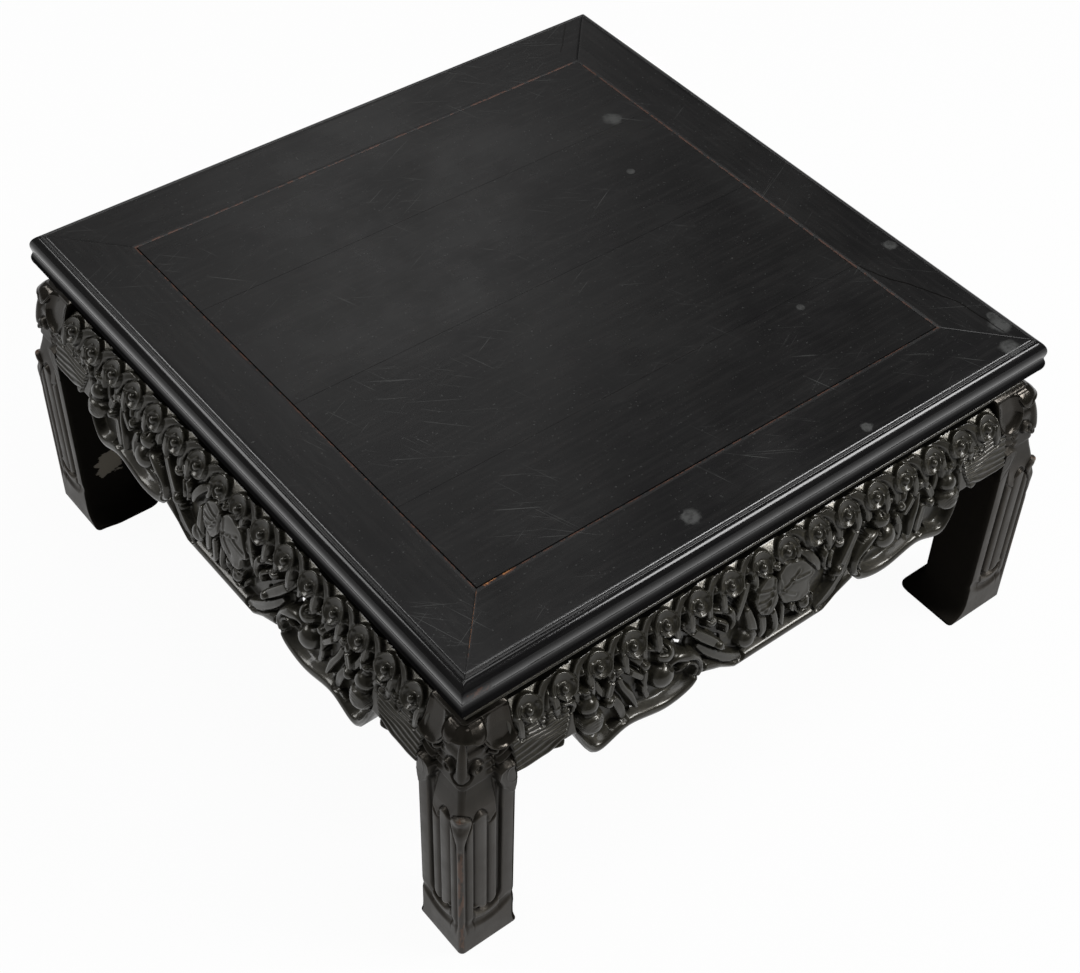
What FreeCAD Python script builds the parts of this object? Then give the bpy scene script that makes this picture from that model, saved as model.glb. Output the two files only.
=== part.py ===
import FreeCAD, Part
import math
import os
import Sketcher
from types import SimpleNamespace

# A low square table for a raised platform, with a mitred top frame around a floating
# panel, a recessed waist, bulging openwork aprons and four reeded legs.
# X runs along the front, Y from front to rear, Z up from the floor, in millimetres.

Vec = FreeCAD.Vector
UP = Vec(0, 0, 1)

SIZES = {
    # The whole table
    "top_width": 624, "top_depth": 634, "table_height": 328, "fit_gap": 0.2, "overrun": 12,
    # Frame of the top: members with a beaded and rounded outer edge
    "frame_thick": 38, "side_member_width": 66, "front_member_width": 71,
    "bead_inset": 9, "bead_drop": 1.2, "upper_round_drop": 17, "upper_round": 14,
    "lower_round_drop": 25, "lower_round": 12, "under_inset": 7,
    "frame_tenon_start": 44, "frame_tenon_width": 24,
    # Panel: four boards held by their tongues in the frame's groove
    "board_thick": 13, "panel_gap": 0.8, "seam_gap": 0.3,
    "front_board": 102, "second_board": 143, "third_board": 142,
    "edge_tongue_drop": 6, "edge_tongue_thick": 5, "edge_tongue_length": 8, "groove_spare": 0.8,
    "seam_tongue_length": 4,
    # Battens across the boards, on sliding dovetails
    "batten_spacing": 160, "batten_width": 24, "batten_height": 20, "dovetail_neck": 16,
    "dovetail_head": 20, "dovetail_depth": 4, "batten_tenon_width": 14,
    "batten_tenon_thick": 10, "batten_tenon_length": 14,
    # Waist strips between the frame and the aprons
    "waist_height": 14, "waist_inset": 10, "waist_thick": 10,
    "waist_bead_height": 3, "waist_bead_round": 1.7,
    # Legs: reeded shaft, waisted neck, bulging head, toe turned inward
    "leg_overhang": 13.5, "leg_width": 54, "reed_top": 178, "reed_shoulder": 186,
    "reed_shoulder_inset": 2, "neck_foot": 192, "neck_foot_inset": 8.5, "neck_round": 48,
    "neck_top": 221, "neck_top_inset": 8, "head_round": 95, "head_top_inset": 18,
    "toe_reach": 18, "toe_height": 3, "toe_top": 22, "toe_round": 20,
    "post_tenon_side": 8, "post_tenon_height": 16, "post_tenon_step": 1.5,
    # Carving of the legs
    "reed_groove_depth": 2.6, "reed_groove_width": 3.5, "reed_groove_at": 35.5,
    "reed_groove_bend": 26, "reed_groove_turn": 75, "reed_valley_depth": 1.6,
    "reed_valley_width": 1.8, "valley_near": 5.5, "valley_middle": 13.5, "valley_far": 26.5,
    "valley_foot": 30, "valley_middle_foot": 55, "valley_far_foot": 62,
    "head_lobe_radius": 16, "head_lobe_at": 34,
    "head_lobe_height": 254, "head_lobe_face": 5.5, "head_lobe_back": 22,
    "corner_lobe_radius": 11, "corner_lobe_inset": 13.5, "corner_lobe_height": 256,
    "nose_radius": 3.2, "nose_inset": 7.5, "nose_foot": 227, "nose_top": 246, "nose_drop_radius": 4.4,
    "curl_radius": 6, "curl_at": 14, "curl_inset": 9, "curl_height": 238,
    "leaf_radius": 8.5, "leaf_at": 43.5, "leaf_inset": 11, "leaf_height": 224,
    # Aprons: thin bulging boards with a lobed lower edge
    "apron_top_inset": 11, "apron_crest_height": 258, "apron_crest_inset": -1,
    "apron_belly_height": 222, "apron_belly_inset": -12, "apron_hem_height": 190,
    "apron_hem_inset": -17, "apron_low": 173.5, "apron_low_inset": -18,
    "apron_back_inset": 24, "apron_back_turn": 238, "apron_back_hem_inset": 5,
    "apron_back_hem_height": 196, "apron_back_low_inset": 2,
    "end_block_foot": 212, "end_block_length": 57, "outer_side": 187, "outer_lobe_low": 175.5,
    "lobe_valley": 183.5, "inner_lobe_low": 176, "inner_side": 180.5, "cusp_height": 192,
    "centre_step": 183,
    "apron_tongue_length": 12, "apron_tongue_thick": 8, "apron_tongue_inset": 12,
    "apron_tongue_foot": 232, "apron_tongue_top": 268,
    # Carving of the aprons: a row of scrolls above hanging gourds, leaves and curled ribbons
    "scroll_first": 11, "scroll_end_gap": 22.5, "scroll_height": 256, "scroll_radius": 12.5,
    "scroll_face": -5.5, "scroll_back": 6, "eye_radius": 4.6, "eye_face": -8.5,
    "crest_shift": 14, "crest_height": 259.5, "crest_radius": 11, "crest_face": -2,
    "centre_ball_radius": 4.5, "centre_ball_height": 248, "centre_ball_inset": -4,
    # Hidden keys that lock apron, waist and frame together
    "key_width": 14, "key_thick": 7, "key_foot": 238, "key_rise": 6, "key_spacing": 150,
}
SCROLLS_PER_HALF = 8

# Points of the lobed lower edge, as shares of half the apron's length.
OUTER_SIDE_SHARE = 0.752
OUTER_LOBE_SHARE = 0.706
LOBE_VALLEY_SHARE = 0.597
INNER_LOBE_SHARE = 0.461
INNER_SIDE_SHARE = 0.364
CUSP_SHARE = 0.318
CENTRE_STEP_SHARE = 0.236
CENTRE_FLAT_SHARE = 0.184

# Carved balls: place as a share of half the apron's length and of its height, then radius
# and the depth of the centre behind the apron's face, both as shares of its height.
BALL_SHARES = [
    (0.735, 0.63, 0.095, 0.03), (0.727, 0.43, 0.120, 0.02), (0.446, 0.63, 0.095, 0.03),
    (0.457, 0.41, 0.120, 0.02), (0.060, 0.56, 0.190, 0.13), (0.030, 0.31, 0.070, 0.02),
    (0.098, 0.33, 0.075, 0.02), (0.140, 0.18, 0.085, 0.03), (0.640, 0.30, 0.080, 0.03),
    (0.270, 0.52, 0.080, 0.03), (0.560, 0.30, 0.070, 0.02), (0.200, 0.30, 0.070, 0.02),
]
# Curled ribbon ends with a hollow mouth: place as before, radius and hollow as shares.
CURL_SHARES = [(0.345, 0.28, 0.115, 0.060), (0.600, 0.62, 0.100, 0.055), (0.225, 0.66, 0.080, 0.040)]
# Pierced openings: place, then half width and half height as shares of the apron's height.
PIERCE_SHARES = [
    (0.780, 0.73, 0.040, 0.075), (0.672, 0.74, 0.042, 0.070), (0.525, 0.76, 0.040, 0.065),
    (0.403, 0.74, 0.040, 0.075), (0.290, 0.74, 0.042, 0.055), (0.170, 0.74, 0.045, 0.060),
    (0.665, 0.53, 0.040, 0.080), (0.365, 0.55, 0.042, 0.070), (0.525, 0.40, 0.042, 0.090),
    (0.395, 0.35, 0.038, 0.055), (0.640, 0.16, 0.050, 0.040), (0.200, 0.47, 0.045, 0.075),
]


class Size(float):
    """A length that keeps, beside its value, the sheet expression it comes from."""

    def __new__(cls, value, words):
        made = super().__new__(cls, value)
        made.words = words
        return made

    def __add__(self, other):
        return Size(float(self) + float(other), "(%s + %s)" % (self.words, words_of(other)))

    def __radd__(self, other):
        return Size(float(other) + float(self), "(%s + %s)" % (words_of(other), self.words))

    def __sub__(self, other):
        return Size(float(self) - float(other), "(%s - %s)" % (self.words, words_of(other)))

    def __rsub__(self, other):
        return Size(float(other) - float(self), "(%s - %s)" % (words_of(other), self.words))

    def __mul__(self, other):
        return Size(float(self) * float(other), "(%s * %s)" % (self.words, words_of(other)))

    def __rmul__(self, other):
        return Size(float(other) * float(self), "(%s * %s)" % (words_of(other), self.words))

    def __truediv__(self, other):
        return Size(float(self) / float(other), "(%s / %s)" % (self.words, words_of(other)))

    def __neg__(self):
        return Size(-float(self), "(-1 * %s)" % self.words)


def words_of(number):
    return number.words if isinstance(number, Size) else repr(float(number))


def make_sheet():
    made = doc.addObject("Spreadsheet::Sheet", "sizes")
    for row, (name, value) in enumerate(SIZES.items(), start=1):
        made.set("A%d" % row, name)
        made.set("B%d" % row, str(value))
        made.setAlias("B%d" % row, name)
    doc.recompute()
    return made


doc = FreeCAD.newDocument("platform_table")
sheet = make_sheet()
s = SimpleNamespace(**{name: Size(sheet.get(name), "sizes." + name) for name in SIZES})

# Levels and halves that several pieces share.
HALF_WIDTH = s.top_width / 2
HALF_DEPTH = s.top_depth / 2
FRAME_FOOT = s.table_height - s.frame_thick
WAIST_FOOT = FRAME_FOOT - s.waist_height
BOARD_FOOT = s.table_height - s.board_thick
BATTEN_FOOT = BOARD_FOOT - s.batten_height
TONGUE_FOOT = s.table_height - s.edge_tongue_drop - s.edge_tongue_thick
PANEL_HALF_WIDTH = HALF_WIDTH - s.side_member_width
PANEL_HALF_DEPTH = HALF_DEPTH - s.front_member_width
# Where a leg's post starts, and the middles of its two tenons, inward from the leg's outer face.
POST_START = s.leg_overhang + s.waist_inset + s.waist_thick + s.fit_gap
TENON_NEAR = POST_START + s.post_tenon_step + s.post_tenon_side / 2
TENON_FAR = s.leg_width - s.post_tenon_step / 2 - s.post_tenon_side / 2
# How far behind the top's edge the outer face of a key lies.
KEY_INSET = s.apron_back_inset - s.key_thick


def new_body(label, place=(0, 0), turn=0):
    """A body turned about the vertical, with its origin moved to a place on the floor."""
    body = doc.addObject("PartDesign::Body", label)
    body.Label = label
    body.Placement = FreeCAD.Placement(Vec(0, 0, 0), FreeCAD.Rotation(UP, turn))
    for axis, length in zip("xy", place):
        if isinstance(length, Size):
            body.setExpression("Placement.Base." + axis, length.words)
    return body


def new_sketch(body, name, role, outlines):
    """A sketch of closed outlines, each a list of (x, y) or (x, y, radius).

    A radius makes the edge that arrives at its point an arc. It bulges to the right of the
    way round, or to the left where the radius is negative.
    """
    sketch = body.newObject("Sketcher::SketchObject", name)
    plane = [item for item in body.Origin.OriginFeatures if item.Role == role][0]
    sketch.AttachmentSupport = (plane, [""])
    sketch.MapMode = "FlatFace"
    for outline in outlines:
        add_outline(sketch, outline)
    doc.recompute()
    return sketch


def add_outline(sketch, outline):
    first = sketch.GeometryCount
    count = len(outline)
    for index, point in enumerate(outline):
        arrival = outline[(index + 1) % count]
        start = Vec(point[0], point[1], 0)
        end = Vec(arrival[0], arrival[1], 0)
        edge = arc_between(start, end, arrival[2]) if len(arrival) == 3 else Part.LineSegment(start, end)
        sketch.addGeometry(edge, False)
    for index, point in enumerate(outline):
        edge = first + index
        arrival = outline[(index + 1) % count]
        start_mark = 1
        end_mark = 2
        if len(arrival) == 3 and arrival[2] < 0:
            start_mark, end_mark = end_mark, start_mark
        following = first + (index + 1) % count
        later = outline[(index + 2) % count]
        next_mark = 2 if len(later) == 3 and later[2] < 0 else 1
        sketch.addConstraint(Sketcher.Constraint("Coincident", edge, end_mark, following, next_mark))
        bind(sketch, ("DistanceX", -1, 1, edge, start_mark), point[0])
        bind(sketch, ("DistanceY", -1, 1, edge, start_mark), point[1])
        if len(arrival) == 3:
            bind(sketch, ("Radius", edge), arrival[2] if arrival[2] > 0 else -arrival[2])


def bind(sketch, marks, length):
    """Hold one measure of a sketch at a length, by the expression where it has one."""
    index = sketch.addConstraint(Sketcher.Constraint(*marks, float(length)))
    if isinstance(length, Size):
        sketch.setExpression("Constraints[%d]" % index, length.words)


def arc_between(start, end, radius):
    chord = end - start
    to_left = Vec(-chord.y, chord.x, 0).normalize() * math.copysign(1, radius)
    rise = math.sqrt(radius ** 2 - (chord.Length / 2) ** 2)
    centre = (start + end) * 0.5 + to_left * rise
    return Part.Arc(start, centre - to_left * abs(radius), end)


def pad(body, name, sketch, length):
    """A sketch made solid, half the length to each side of its plane."""
    made = body.newObject("PartDesign::Pad", name)
    made.Profile = sketch
    made.SideType = "Symmetric"
    made.setExpression("Length", length.words)
    doc.recompute()
    return made


def cut(body, name, sketch, depth=None, reverse=False):
    """Cut a sketch through the whole body both ways, or one way to a depth."""
    before = body.Shape.Volume
    made = body.newObject("PartDesign::Pocket", name)
    made.Profile = sketch
    if depth is None:
        made.SideType = "Symmetric"
        made.Type = "ThroughAll"
    else:
        made.Reversed = reverse
        made.setExpression("Length", depth.words)
    doc.recompute()
    if body.Shape.Volume >= before:
        raise RuntimeError("the cut %s removed nothing" % name)
    return made


def add_form(body, kind, name, place, sizes, rotation=None):
    """A primitive added to a body, or cut from it, such as a block, ball or round peg."""
    made = body.newObject("PartDesign::" + kind, name)
    if rotation:
        made.Placement = FreeCAD.Placement(Vec(0, 0, 0), rotation)
    for key, length in sizes.items():
        made.setExpression(key, length.words)
    for axis, length in zip("xyz", place):
        made.setExpression("Placement.Base." + axis, words_of(length))
    doc.recompute()
    return made


def block(body, kind, name, corner, length, width, height):
    """A block by its lowest corner and its sizes along X, Y and Z."""
    return add_form(body, kind + "Box", name, corner, {"Length": length, "Width": width, "Height": height})


def grown(corner, sizes, gap):
    """The corner and sizes of a block widened by a gap on every side."""
    return [place - gap for place in corner], [length + 2 * gap for length in sizes]


def edge_profile(half, width):
    """Section of a frame member, outer edge to the left, with the groove for the panel."""
    inner = width - half
    groove = inner - s.edge_tongue_length - s.groove_spare
    groove_foot = TONGUE_FOOT - s.fit_gap
    groove_top = TONGUE_FOOT + s.edge_tongue_thick + s.fit_gap
    bead = s.bead_inset - half
    return [
        (inner, FRAME_FOOT), (inner, groove_foot), (groove, groove_foot), (groove, groove_top),
        (inner, groove_top), (inner, s.table_height), (bead, s.table_height),
        (bead, s.table_height - s.bead_drop),
        (-half, s.table_height - s.upper_round_drop, s.upper_round),
        (-half, s.table_height - s.lower_round_drop),
        (s.under_inset - half, FRAME_FOOT, s.lower_round),
    ]


def past_mitre(half_x, half_y, width_x, width_y, x_sign, y_sign, beside):
    """What a member loses past the mitre line from the top's corner to the panel's corner."""
    x_out = x_sign * (half_x + width_x / 2)
    y_out = y_sign * (half_y + width_y / 2)
    x_far = x_sign * (half_x - width_x * 3 / 2)
    y_far = y_sign * (half_y - width_y * 3 / 2)
    corner = (x_out, y_far) if beside else (x_far, y_out)
    return [(x_out, y_out), corner, (x_far, y_far)]


def frame_mitre(x_sign, y_sign, beside):
    return past_mitre(HALF_WIDTH, HALF_DEPTH, s.side_member_width, s.front_member_width,
                      x_sign, y_sign, beside)


def tenon_block():
    """The through tenon at the left end of the front member: corner and sizes."""
    corner = (-HALF_WIDTH, s.frame_tenon_start - HALF_DEPTH, s.table_height - s.lower_round_drop)
    return corner, (s.side_member_width, s.frame_tenon_width, s.lower_round_drop - s.upper_round_drop)


def batten_tenon_block(step):
    """The front tenon of a batten, counted in battens from the middle one."""
    corner = (step * s.batten_spacing - s.batten_tenon_width / 2,
              -PANEL_HALF_DEPTH - s.batten_tenon_length,
              BATTEN_FOOT + s.batten_height / 2 - s.batten_tenon_thick / 2)
    return corner, (s.batten_tenon_width, s.batten_tenon_length, s.batten_tenon_thick)


def cut_leg_mortises(body, places):
    """Mortises in a frame member's underside for the tenons on the legs' posts."""
    side = s.post_tenon_side + 2 * s.fit_gap
    for index, (x_place, y_place) in enumerate(places, start=1):
        block(body, "Subtractive", "%s_leg_mortise_%d" % (body.Label, index),
              (x_place - side / 2, y_place - side / 2, FRAME_FOOT),
              side, side, s.post_tenon_height + s.fit_gap)


def key_block(half, step):
    """The part of a key above the apron, for a piece that lies along X at the front."""
    corner = (step * s.key_spacing - s.key_width / 2, KEY_INSET - half, WAIST_FOOT)
    return corner, (s.key_width, s.key_thick, s.waist_height + s.key_rise)


def cut_key_slots(body, half, along_x):
    for index, step in enumerate((-1, 1), start=1):
        corner, lengths = grown(*key_block(half, step), s.fit_gap)
        if not along_x:
            corner = [corner[1], corner[0], corner[2]]
            lengths = [lengths[1], lengths[0], lengths[2]]
        block(body, "Subtractive", "%s_key_slot_%d" % (body.Label, index), corner, *lengths)


def frame_along_x(label, turn):
    """A frame member along X, whose end tenons go right through the side members."""
    body = new_body(label, turn=turn)
    section = new_sketch(body, label + "_section", "YZ_Plane", [edge_profile(HALF_DEPTH, s.front_member_width)])
    pad(body, label + "_length", section, s.top_width)
    mitres = [frame_mitre(1, -1, True), frame_mitre(-1, -1, True)]
    cut(body, label + "_mitres", new_sketch(body, label + "_mitre_lines", "XY_Plane", mitres))
    corner, lengths = tenon_block()
    block(body, "Additive", label + "_tenons", corner, s.top_width, lengths[1], lengths[2])
    for index, step in enumerate((-1, 0, 1), start=1):
        corner, lengths = grown(*batten_tenon_block(step), s.fit_gap)
        block(body, "Subtractive", "%s_batten_mortise_%d" % (label, index), corner, *lengths)
    far = HALF_WIDTH + s.leg_overhang - TENON_FAR
    near = HALF_DEPTH + s.leg_overhang - TENON_NEAR
    cut_leg_mortises(body, [(-far, -near), (far, -near)])
    cut_key_slots(body, HALF_DEPTH, True)
    return body


def frame_along_y(label, turn):
    """A frame member along Y, mortised near each end for the front and rear tenons."""
    body = new_body(label, turn=turn)
    section = new_sketch(body, label + "_section", "XZ_Plane", [edge_profile(HALF_WIDTH, s.side_member_width)])
    pad(body, label + "_length", section, s.top_depth)
    mitres = [frame_mitre(-1, -1, False), frame_mitre(-1, 1, False)]
    cut(body, label + "_mitres", new_sketch(body, label + "_mitre_lines", "XY_Plane", mitres))
    corner, lengths = grown(*tenon_block(), s.fit_gap)
    block(body, "Subtractive", label + "_front_mortise", corner, lengths[0], lengths[1], lengths[2])
    rear = -corner[1] - lengths[1]
    block(body, "Subtractive", label + "_rear_mortise", (corner[0], rear, corner[2]), *lengths)
    near = HALF_WIDTH + s.leg_overhang - TENON_NEAR
    far = HALF_DEPTH + s.leg_overhang - TENON_FAR
    cut_leg_mortises(body, [(-near, -far), (-near, far)])
    cut_key_slots(body, HALF_WIDTH, False)
    return body


def waist_strip(label, turn, half_x, half_y):
    """One strip of the waist, mitred at its ends, with a small bead along its lower edge."""
    body = new_body(label, turn=turn)
    face = s.waist_inset - half_y
    back = face + s.waist_thick
    section = [(back, WAIST_FOOT), (back, FRAME_FOOT), (face, FRAME_FOOT),
               (face, WAIST_FOOT + s.waist_bead_height), (face, WAIST_FOOT, s.waist_bead_round)]
    pad(body, label + "_length", new_sketch(body, label + "_section", "YZ_Plane", [section]),
        2 * (half_x - s.waist_inset + s.waist_bead_height))
    outer_x = half_x - s.waist_inset
    outer_y = half_y - s.waist_inset
    mitres = [past_mitre(outer_x, outer_y, s.waist_thick, s.waist_thick, sign, -1, True) for sign in (1, -1)]
    cut(body, label + "_mitres", new_sketch(body, label + "_mitre_lines", "XY_Plane", mitres))
    cut_key_slots(body, half_y, True)
    return body


def panel_board(index, front, rear, front_gap, rear_gap, front_tongue, rear_tongue):
    """A board between two seams, with tongues round its free edges and a groove in front."""
    label = "panel_board_%d" % index
    body = new_body(label)
    core_half = PANEL_HALF_WIDTH - s.panel_gap
    tongue_half = PANEL_HALF_WIDTH + s.edge_tongue_length
    block(body, "Additive", label + "_core", (-core_half, front + front_gap, BOARD_FOOT),
          2 * core_half, rear - rear_gap - front - front_gap, s.board_thick)
    tongue_start = front - front_tongue if front_tongue else front + front_gap
    block(body, "Additive", label + "_tongues", (-tongue_half, tongue_start, TONGUE_FOOT),
          2 * tongue_half, rear + rear_tongue - tongue_start, s.edge_tongue_thick)
    if not front_tongue:
        block(body, "Subtractive", label + "_groove",
              (-tongue_half - s.overrun, front, TONGUE_FOOT - s.fit_gap),
              2 * (tongue_half + s.overrun), s.seam_tongue_length + s.fit_gap,
              s.edge_tongue_thick + 2 * s.fit_gap)
    slots = [dovetail_slot(step * s.batten_spacing) for step in (-1, 0, 1)]
    cut(body, label + "_dovetails", new_sketch(body, label + "_dovetail_lines", "XZ_Plane", slots))
    return body


def dovetail_slot(middle):
    """A dovetail slot across the boards, open below and wider at its top."""
    neck = s.dovetail_neck / 2 + s.fit_gap
    head = s.dovetail_head / 2 + s.fit_gap
    below = BOARD_FOOT - s.overrun
    top = BOARD_FOOT + s.dovetail_depth + s.fit_gap
    return [(middle - neck, below), (middle + neck, below), (middle + neck, BOARD_FOOT),
            (middle + head, top), (middle - head, top), (middle - neck, BOARD_FOOT)]


def batten(label, step):
    """A batten under the boards: a dovetail along its top and a tenon at each end."""
    body = new_body(label)
    middle = step * s.batten_spacing
    half = s.batten_width / 2
    neck = s.dovetail_neck / 2
    head = s.dovetail_head / 2
    top = BOARD_FOOT + s.dovetail_depth
    section = [(middle - half, BATTEN_FOOT), (middle + half, BATTEN_FOOT), (middle + half, BOARD_FOOT),
               (middle + neck, BOARD_FOOT), (middle + head, top), (middle - head, top),
               (middle - neck, BOARD_FOOT), (middle - half, BOARD_FOOT)]
    pad(body, label + "_length", new_sketch(body, label + "_section", "XZ_Plane", [section]),
        2 * (PANEL_HALF_DEPTH - s.panel_gap))
    corner, lengths = batten_tenon_block(step)
    block(body, "Additive", label + "_tenons", corner, lengths[0], -2 * corner[1], lengths[2])
    return body


def leg_profile():
    """Side view of a leg: distance inward from its outer face, then height."""
    toe = s.leg_width + s.toe_reach
    return [
        (0, 0), (toe, 0), (toe, s.toe_height), (s.leg_width, s.toe_top, -s.toe_round),
        (s.leg_width, WAIST_FOOT), (s.head_top_inset, WAIST_FOOT),
        (s.neck_top_inset, s.neck_top, s.head_round),
        (s.neck_foot_inset, s.neck_foot, -s.neck_round),
        (s.reed_shoulder_inset, s.reed_shoulder), (0, s.reed_top),
    ]


def leg(label, turn, x_place, y_place):
    """A leg with its outer corner at its own origin and its body toward +X and +Y."""
    body = new_body(label, (x_place, y_place), turn)
    reach = s.leg_width + s.toe_reach
    side_view = new_sketch(body, label + "_side_view", "XZ_Plane", [leg_profile()])
    pad(body, label + "_side", side_view, 2 * reach)
    margin = reach + s.overrun
    height = s.table_height + s.overrun
    around = [(-margin, -s.overrun), (margin, -s.overrun), (margin, height), (-margin, height)]
    waste = new_sketch(body, label + "_front_view", "YZ_Plane", [around, leg_profile()])
    cut(body, label + "_front", waste)
    carve_head(body, label)
    cut_reeds(body, label)
    add_post(body, label)
    cut_tongue_slots(body, label)
    return body


def carve_head(body, label):
    """Lobes, leaves, curls and the nose of a leg's carved head."""
    lobe_depth = s.head_lobe_back - s.head_lobe_face
    toward_y = FreeCAD.Rotation(Vec(1, 0, 0), -90)
    toward_x = FreeCAD.Rotation(Vec(0, 1, 0), 90)
    for name, swap, rotation in (("x", False, toward_y), ("y", True, toward_x)):
        def place(along, inset, height, swap=swap):
            return (inset, along, height) if swap else (along, inset, height)
        add_form(body, "AdditiveCylinder", "%s_lobe_%s" % (label, name),
                 place(s.head_lobe_at, s.head_lobe_face, s.head_lobe_height),
                 {"Radius": s.head_lobe_radius, "Height": lobe_depth}, rotation)
        add_form(body, "AdditiveSphere", "%s_leaf_%s" % (label, name),
                 place(s.leaf_at, s.leaf_inset, s.leaf_height), {"Radius": s.leaf_radius})
        add_form(body, "AdditiveSphere", "%s_curl_%s" % (label, name),
                 place(s.curl_at, s.curl_inset, s.curl_height), {"Radius": s.curl_radius})
    add_form(body, "AdditiveSphere", label + "_corner_lobe",
             (s.corner_lobe_inset, s.corner_lobe_inset, s.corner_lobe_height), {"Radius": s.corner_lobe_radius})
    add_form(body, "AdditiveCylinder", label + "_nose", (s.nose_inset, s.nose_inset, s.nose_foot),
             {"Radius": s.nose_radius, "Height": s.nose_top - s.nose_foot})
    add_form(body, "AdditiveSphere", label + "_nose_drop", (s.nose_inset, s.nose_inset, s.nose_foot),
             {"Radius": s.nose_drop_radius})


def hooked_groove():
    """The deep groove of one face, which turns toward the corner at its foot."""
    outer = s.reed_groove_at + s.reed_groove_width / 2
    inner = outer - s.reed_groove_width
    start = s.reed_groove_at - s.reed_groove_bend
    turn = s.reed_groove_turn
    return [(outer, turn, outer - start), (outer, s.neck_foot), (inner, s.neck_foot), (inner, turn),
            (start, turn - inner + start, start - inner), (start, turn - outer + start)]


def valleys():
    """The narrow grooves between a face's reeds, from the corner inward."""
    half = s.reed_valley_width / 2
    feet = ((s.valley_near, s.valley_foot), (s.valley_middle, s.valley_middle_foot),
            (s.valley_far, s.valley_far_foot))
    return [[(along - half, foot), (along + half, foot), (along + half, s.neck_foot),
             (along - half, s.neck_foot)] for along, foot in feet]


def cut_reeds(body, label):
    """The reeding of a leg's two outer faces."""
    for name, role, reverse in (("x", "XZ_Plane", False), ("y", "YZ_Plane", True)):
        groove = new_sketch(body, "%s_groove_line_%s" % (label, name), role, [hooked_groove()])
        cut(body, "%s_groove_%s" % (label, name), groove, s.reed_groove_depth, reverse)
        lines = new_sketch(body, "%s_valley_lines_%s" % (label, name), role, valleys())
        cut(body, "%s_valleys_%s" % (label, name), lines, s.reed_valley_depth, reverse)


def add_post(body, label):
    """The post above the leg, behind the waist, and its two tenons into the frame."""
    side = s.leg_width - POST_START
    block(body, "Additive", label + "_post", (POST_START, POST_START, WAIST_FOOT), side, side, s.waist_height)
    half = s.post_tenon_side / 2
    for name, x_middle, y_middle in (("x", TENON_FAR, TENON_NEAR), ("y", TENON_NEAR, TENON_FAR)):
        block(body, "Additive", "%s_tenon_%s" % (label, name), (x_middle - half, y_middle - half, FRAME_FOOT),
              s.post_tenon_side, s.post_tenon_side, s.post_tenon_height)


def cut_tongue_slots(body, label):
    """Slots in a leg's two inner faces for the tongues of its aprons."""
    inset = s.leg_overhang + s.apron_tongue_inset - s.fit_gap
    thick = s.apron_tongue_thick + 2 * s.fit_gap
    depth = s.apron_tongue_length + s.fit_gap
    start = s.leg_width - depth
    foot = s.apron_tongue_foot - s.fit_gap
    height = s.apron_tongue_top + s.fit_gap - foot
    block(body, "Subtractive", label + "_slot_x", (start, inset, foot), depth + s.overrun, thick, height)
    block(body, "Subtractive", label + "_slot_y", (inset, start, foot), thick, depth + s.overrun, height)


def turned_keys(side, turn, half):
    """The two keys of one side, laid out as at the front and turned about the table's middle."""
    keys = []
    cosine = round(math.cos(math.radians(turn)))
    sine = round(math.sin(math.radians(turn)))
    for name, step in (("left", -1), ("right", 1)):
        x_place = step * s.key_spacing - s.key_width / 2
        y_place = KEY_INSET - half
        key = doc.addObject("Part::Box", "key_%s_%s" % (side, name))
        key.Placement = FreeCAD.Placement(Vec(0, 0, 0), FreeCAD.Rotation(UP, turn))
        key.setExpression("Length", s.key_width.words)
        key.setExpression("Width", s.key_thick.words)
        key.setExpression("Height", (FRAME_FOOT + s.key_rise - s.key_foot).words)
        key.setExpression("Placement.Base.x", (cosine * x_place - sine * y_place).words)
        key.setExpression("Placement.Base.y", (sine * x_place + cosine * y_place).words)
        key.setExpression("Placement.Base.z", s.key_foot.words)
        keys.append(key)
    return keys


def apron_keys():
    """Eight upright keys let into the backs of the aprons, two on each side."""
    group = doc.addObject("Part::Compound", "apron_keys")
    group.Label = "apron_keys"
    group.Links = (turned_keys("front", 0, HALF_DEPTH) + turned_keys("right", 90, HALF_WIDTH)
                   + turned_keys("rear", 180, HALF_DEPTH) + turned_keys("left", 270, HALF_WIDTH))
    return group


def smooth(points):
    """A smooth curve through points in the order given."""
    curve = Part.BSplineCurve()
    curve.interpolate(points)
    return curve.toShape()


def chain(points):
    return [Part.makeLine(start, end) for start, end in zip(points, points[1:])]


def face_of(edges):
    return Part.Face(Part.Wire(Part.__sortEdges__(edges)))


def apron_bar(half):
    """The apron's bulging section as a bar, as inset from the top's edge against height."""
    def at(inset, height):
        return Vec(-half, inset, height)
    top = at(s.apron_top_inset, WAIST_FOOT)
    low = at(s.apron_low_inset, s.apron_low)
    back_turn = at(s.apron_back_inset, s.apron_back_turn)
    back_low = at(s.apron_back_low_inset, s.apron_low)
    face = smooth([top, at(s.apron_crest_inset, s.apron_crest_height),
                   at(s.apron_belly_inset, s.apron_belly_height),
                   at(s.apron_hem_inset, s.apron_hem_height), low])
    back = smooth([back_turn, at(s.apron_back_hem_inset, s.apron_back_hem_height), back_low])
    edges = [face, back, Part.makeLine(back_low, low)]
    edges += chain([top, at(s.apron_back_inset, WAIST_FOOT), back_turn])
    return face_of(edges).extrude(Vec(2 * half, 0, 0))


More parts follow.
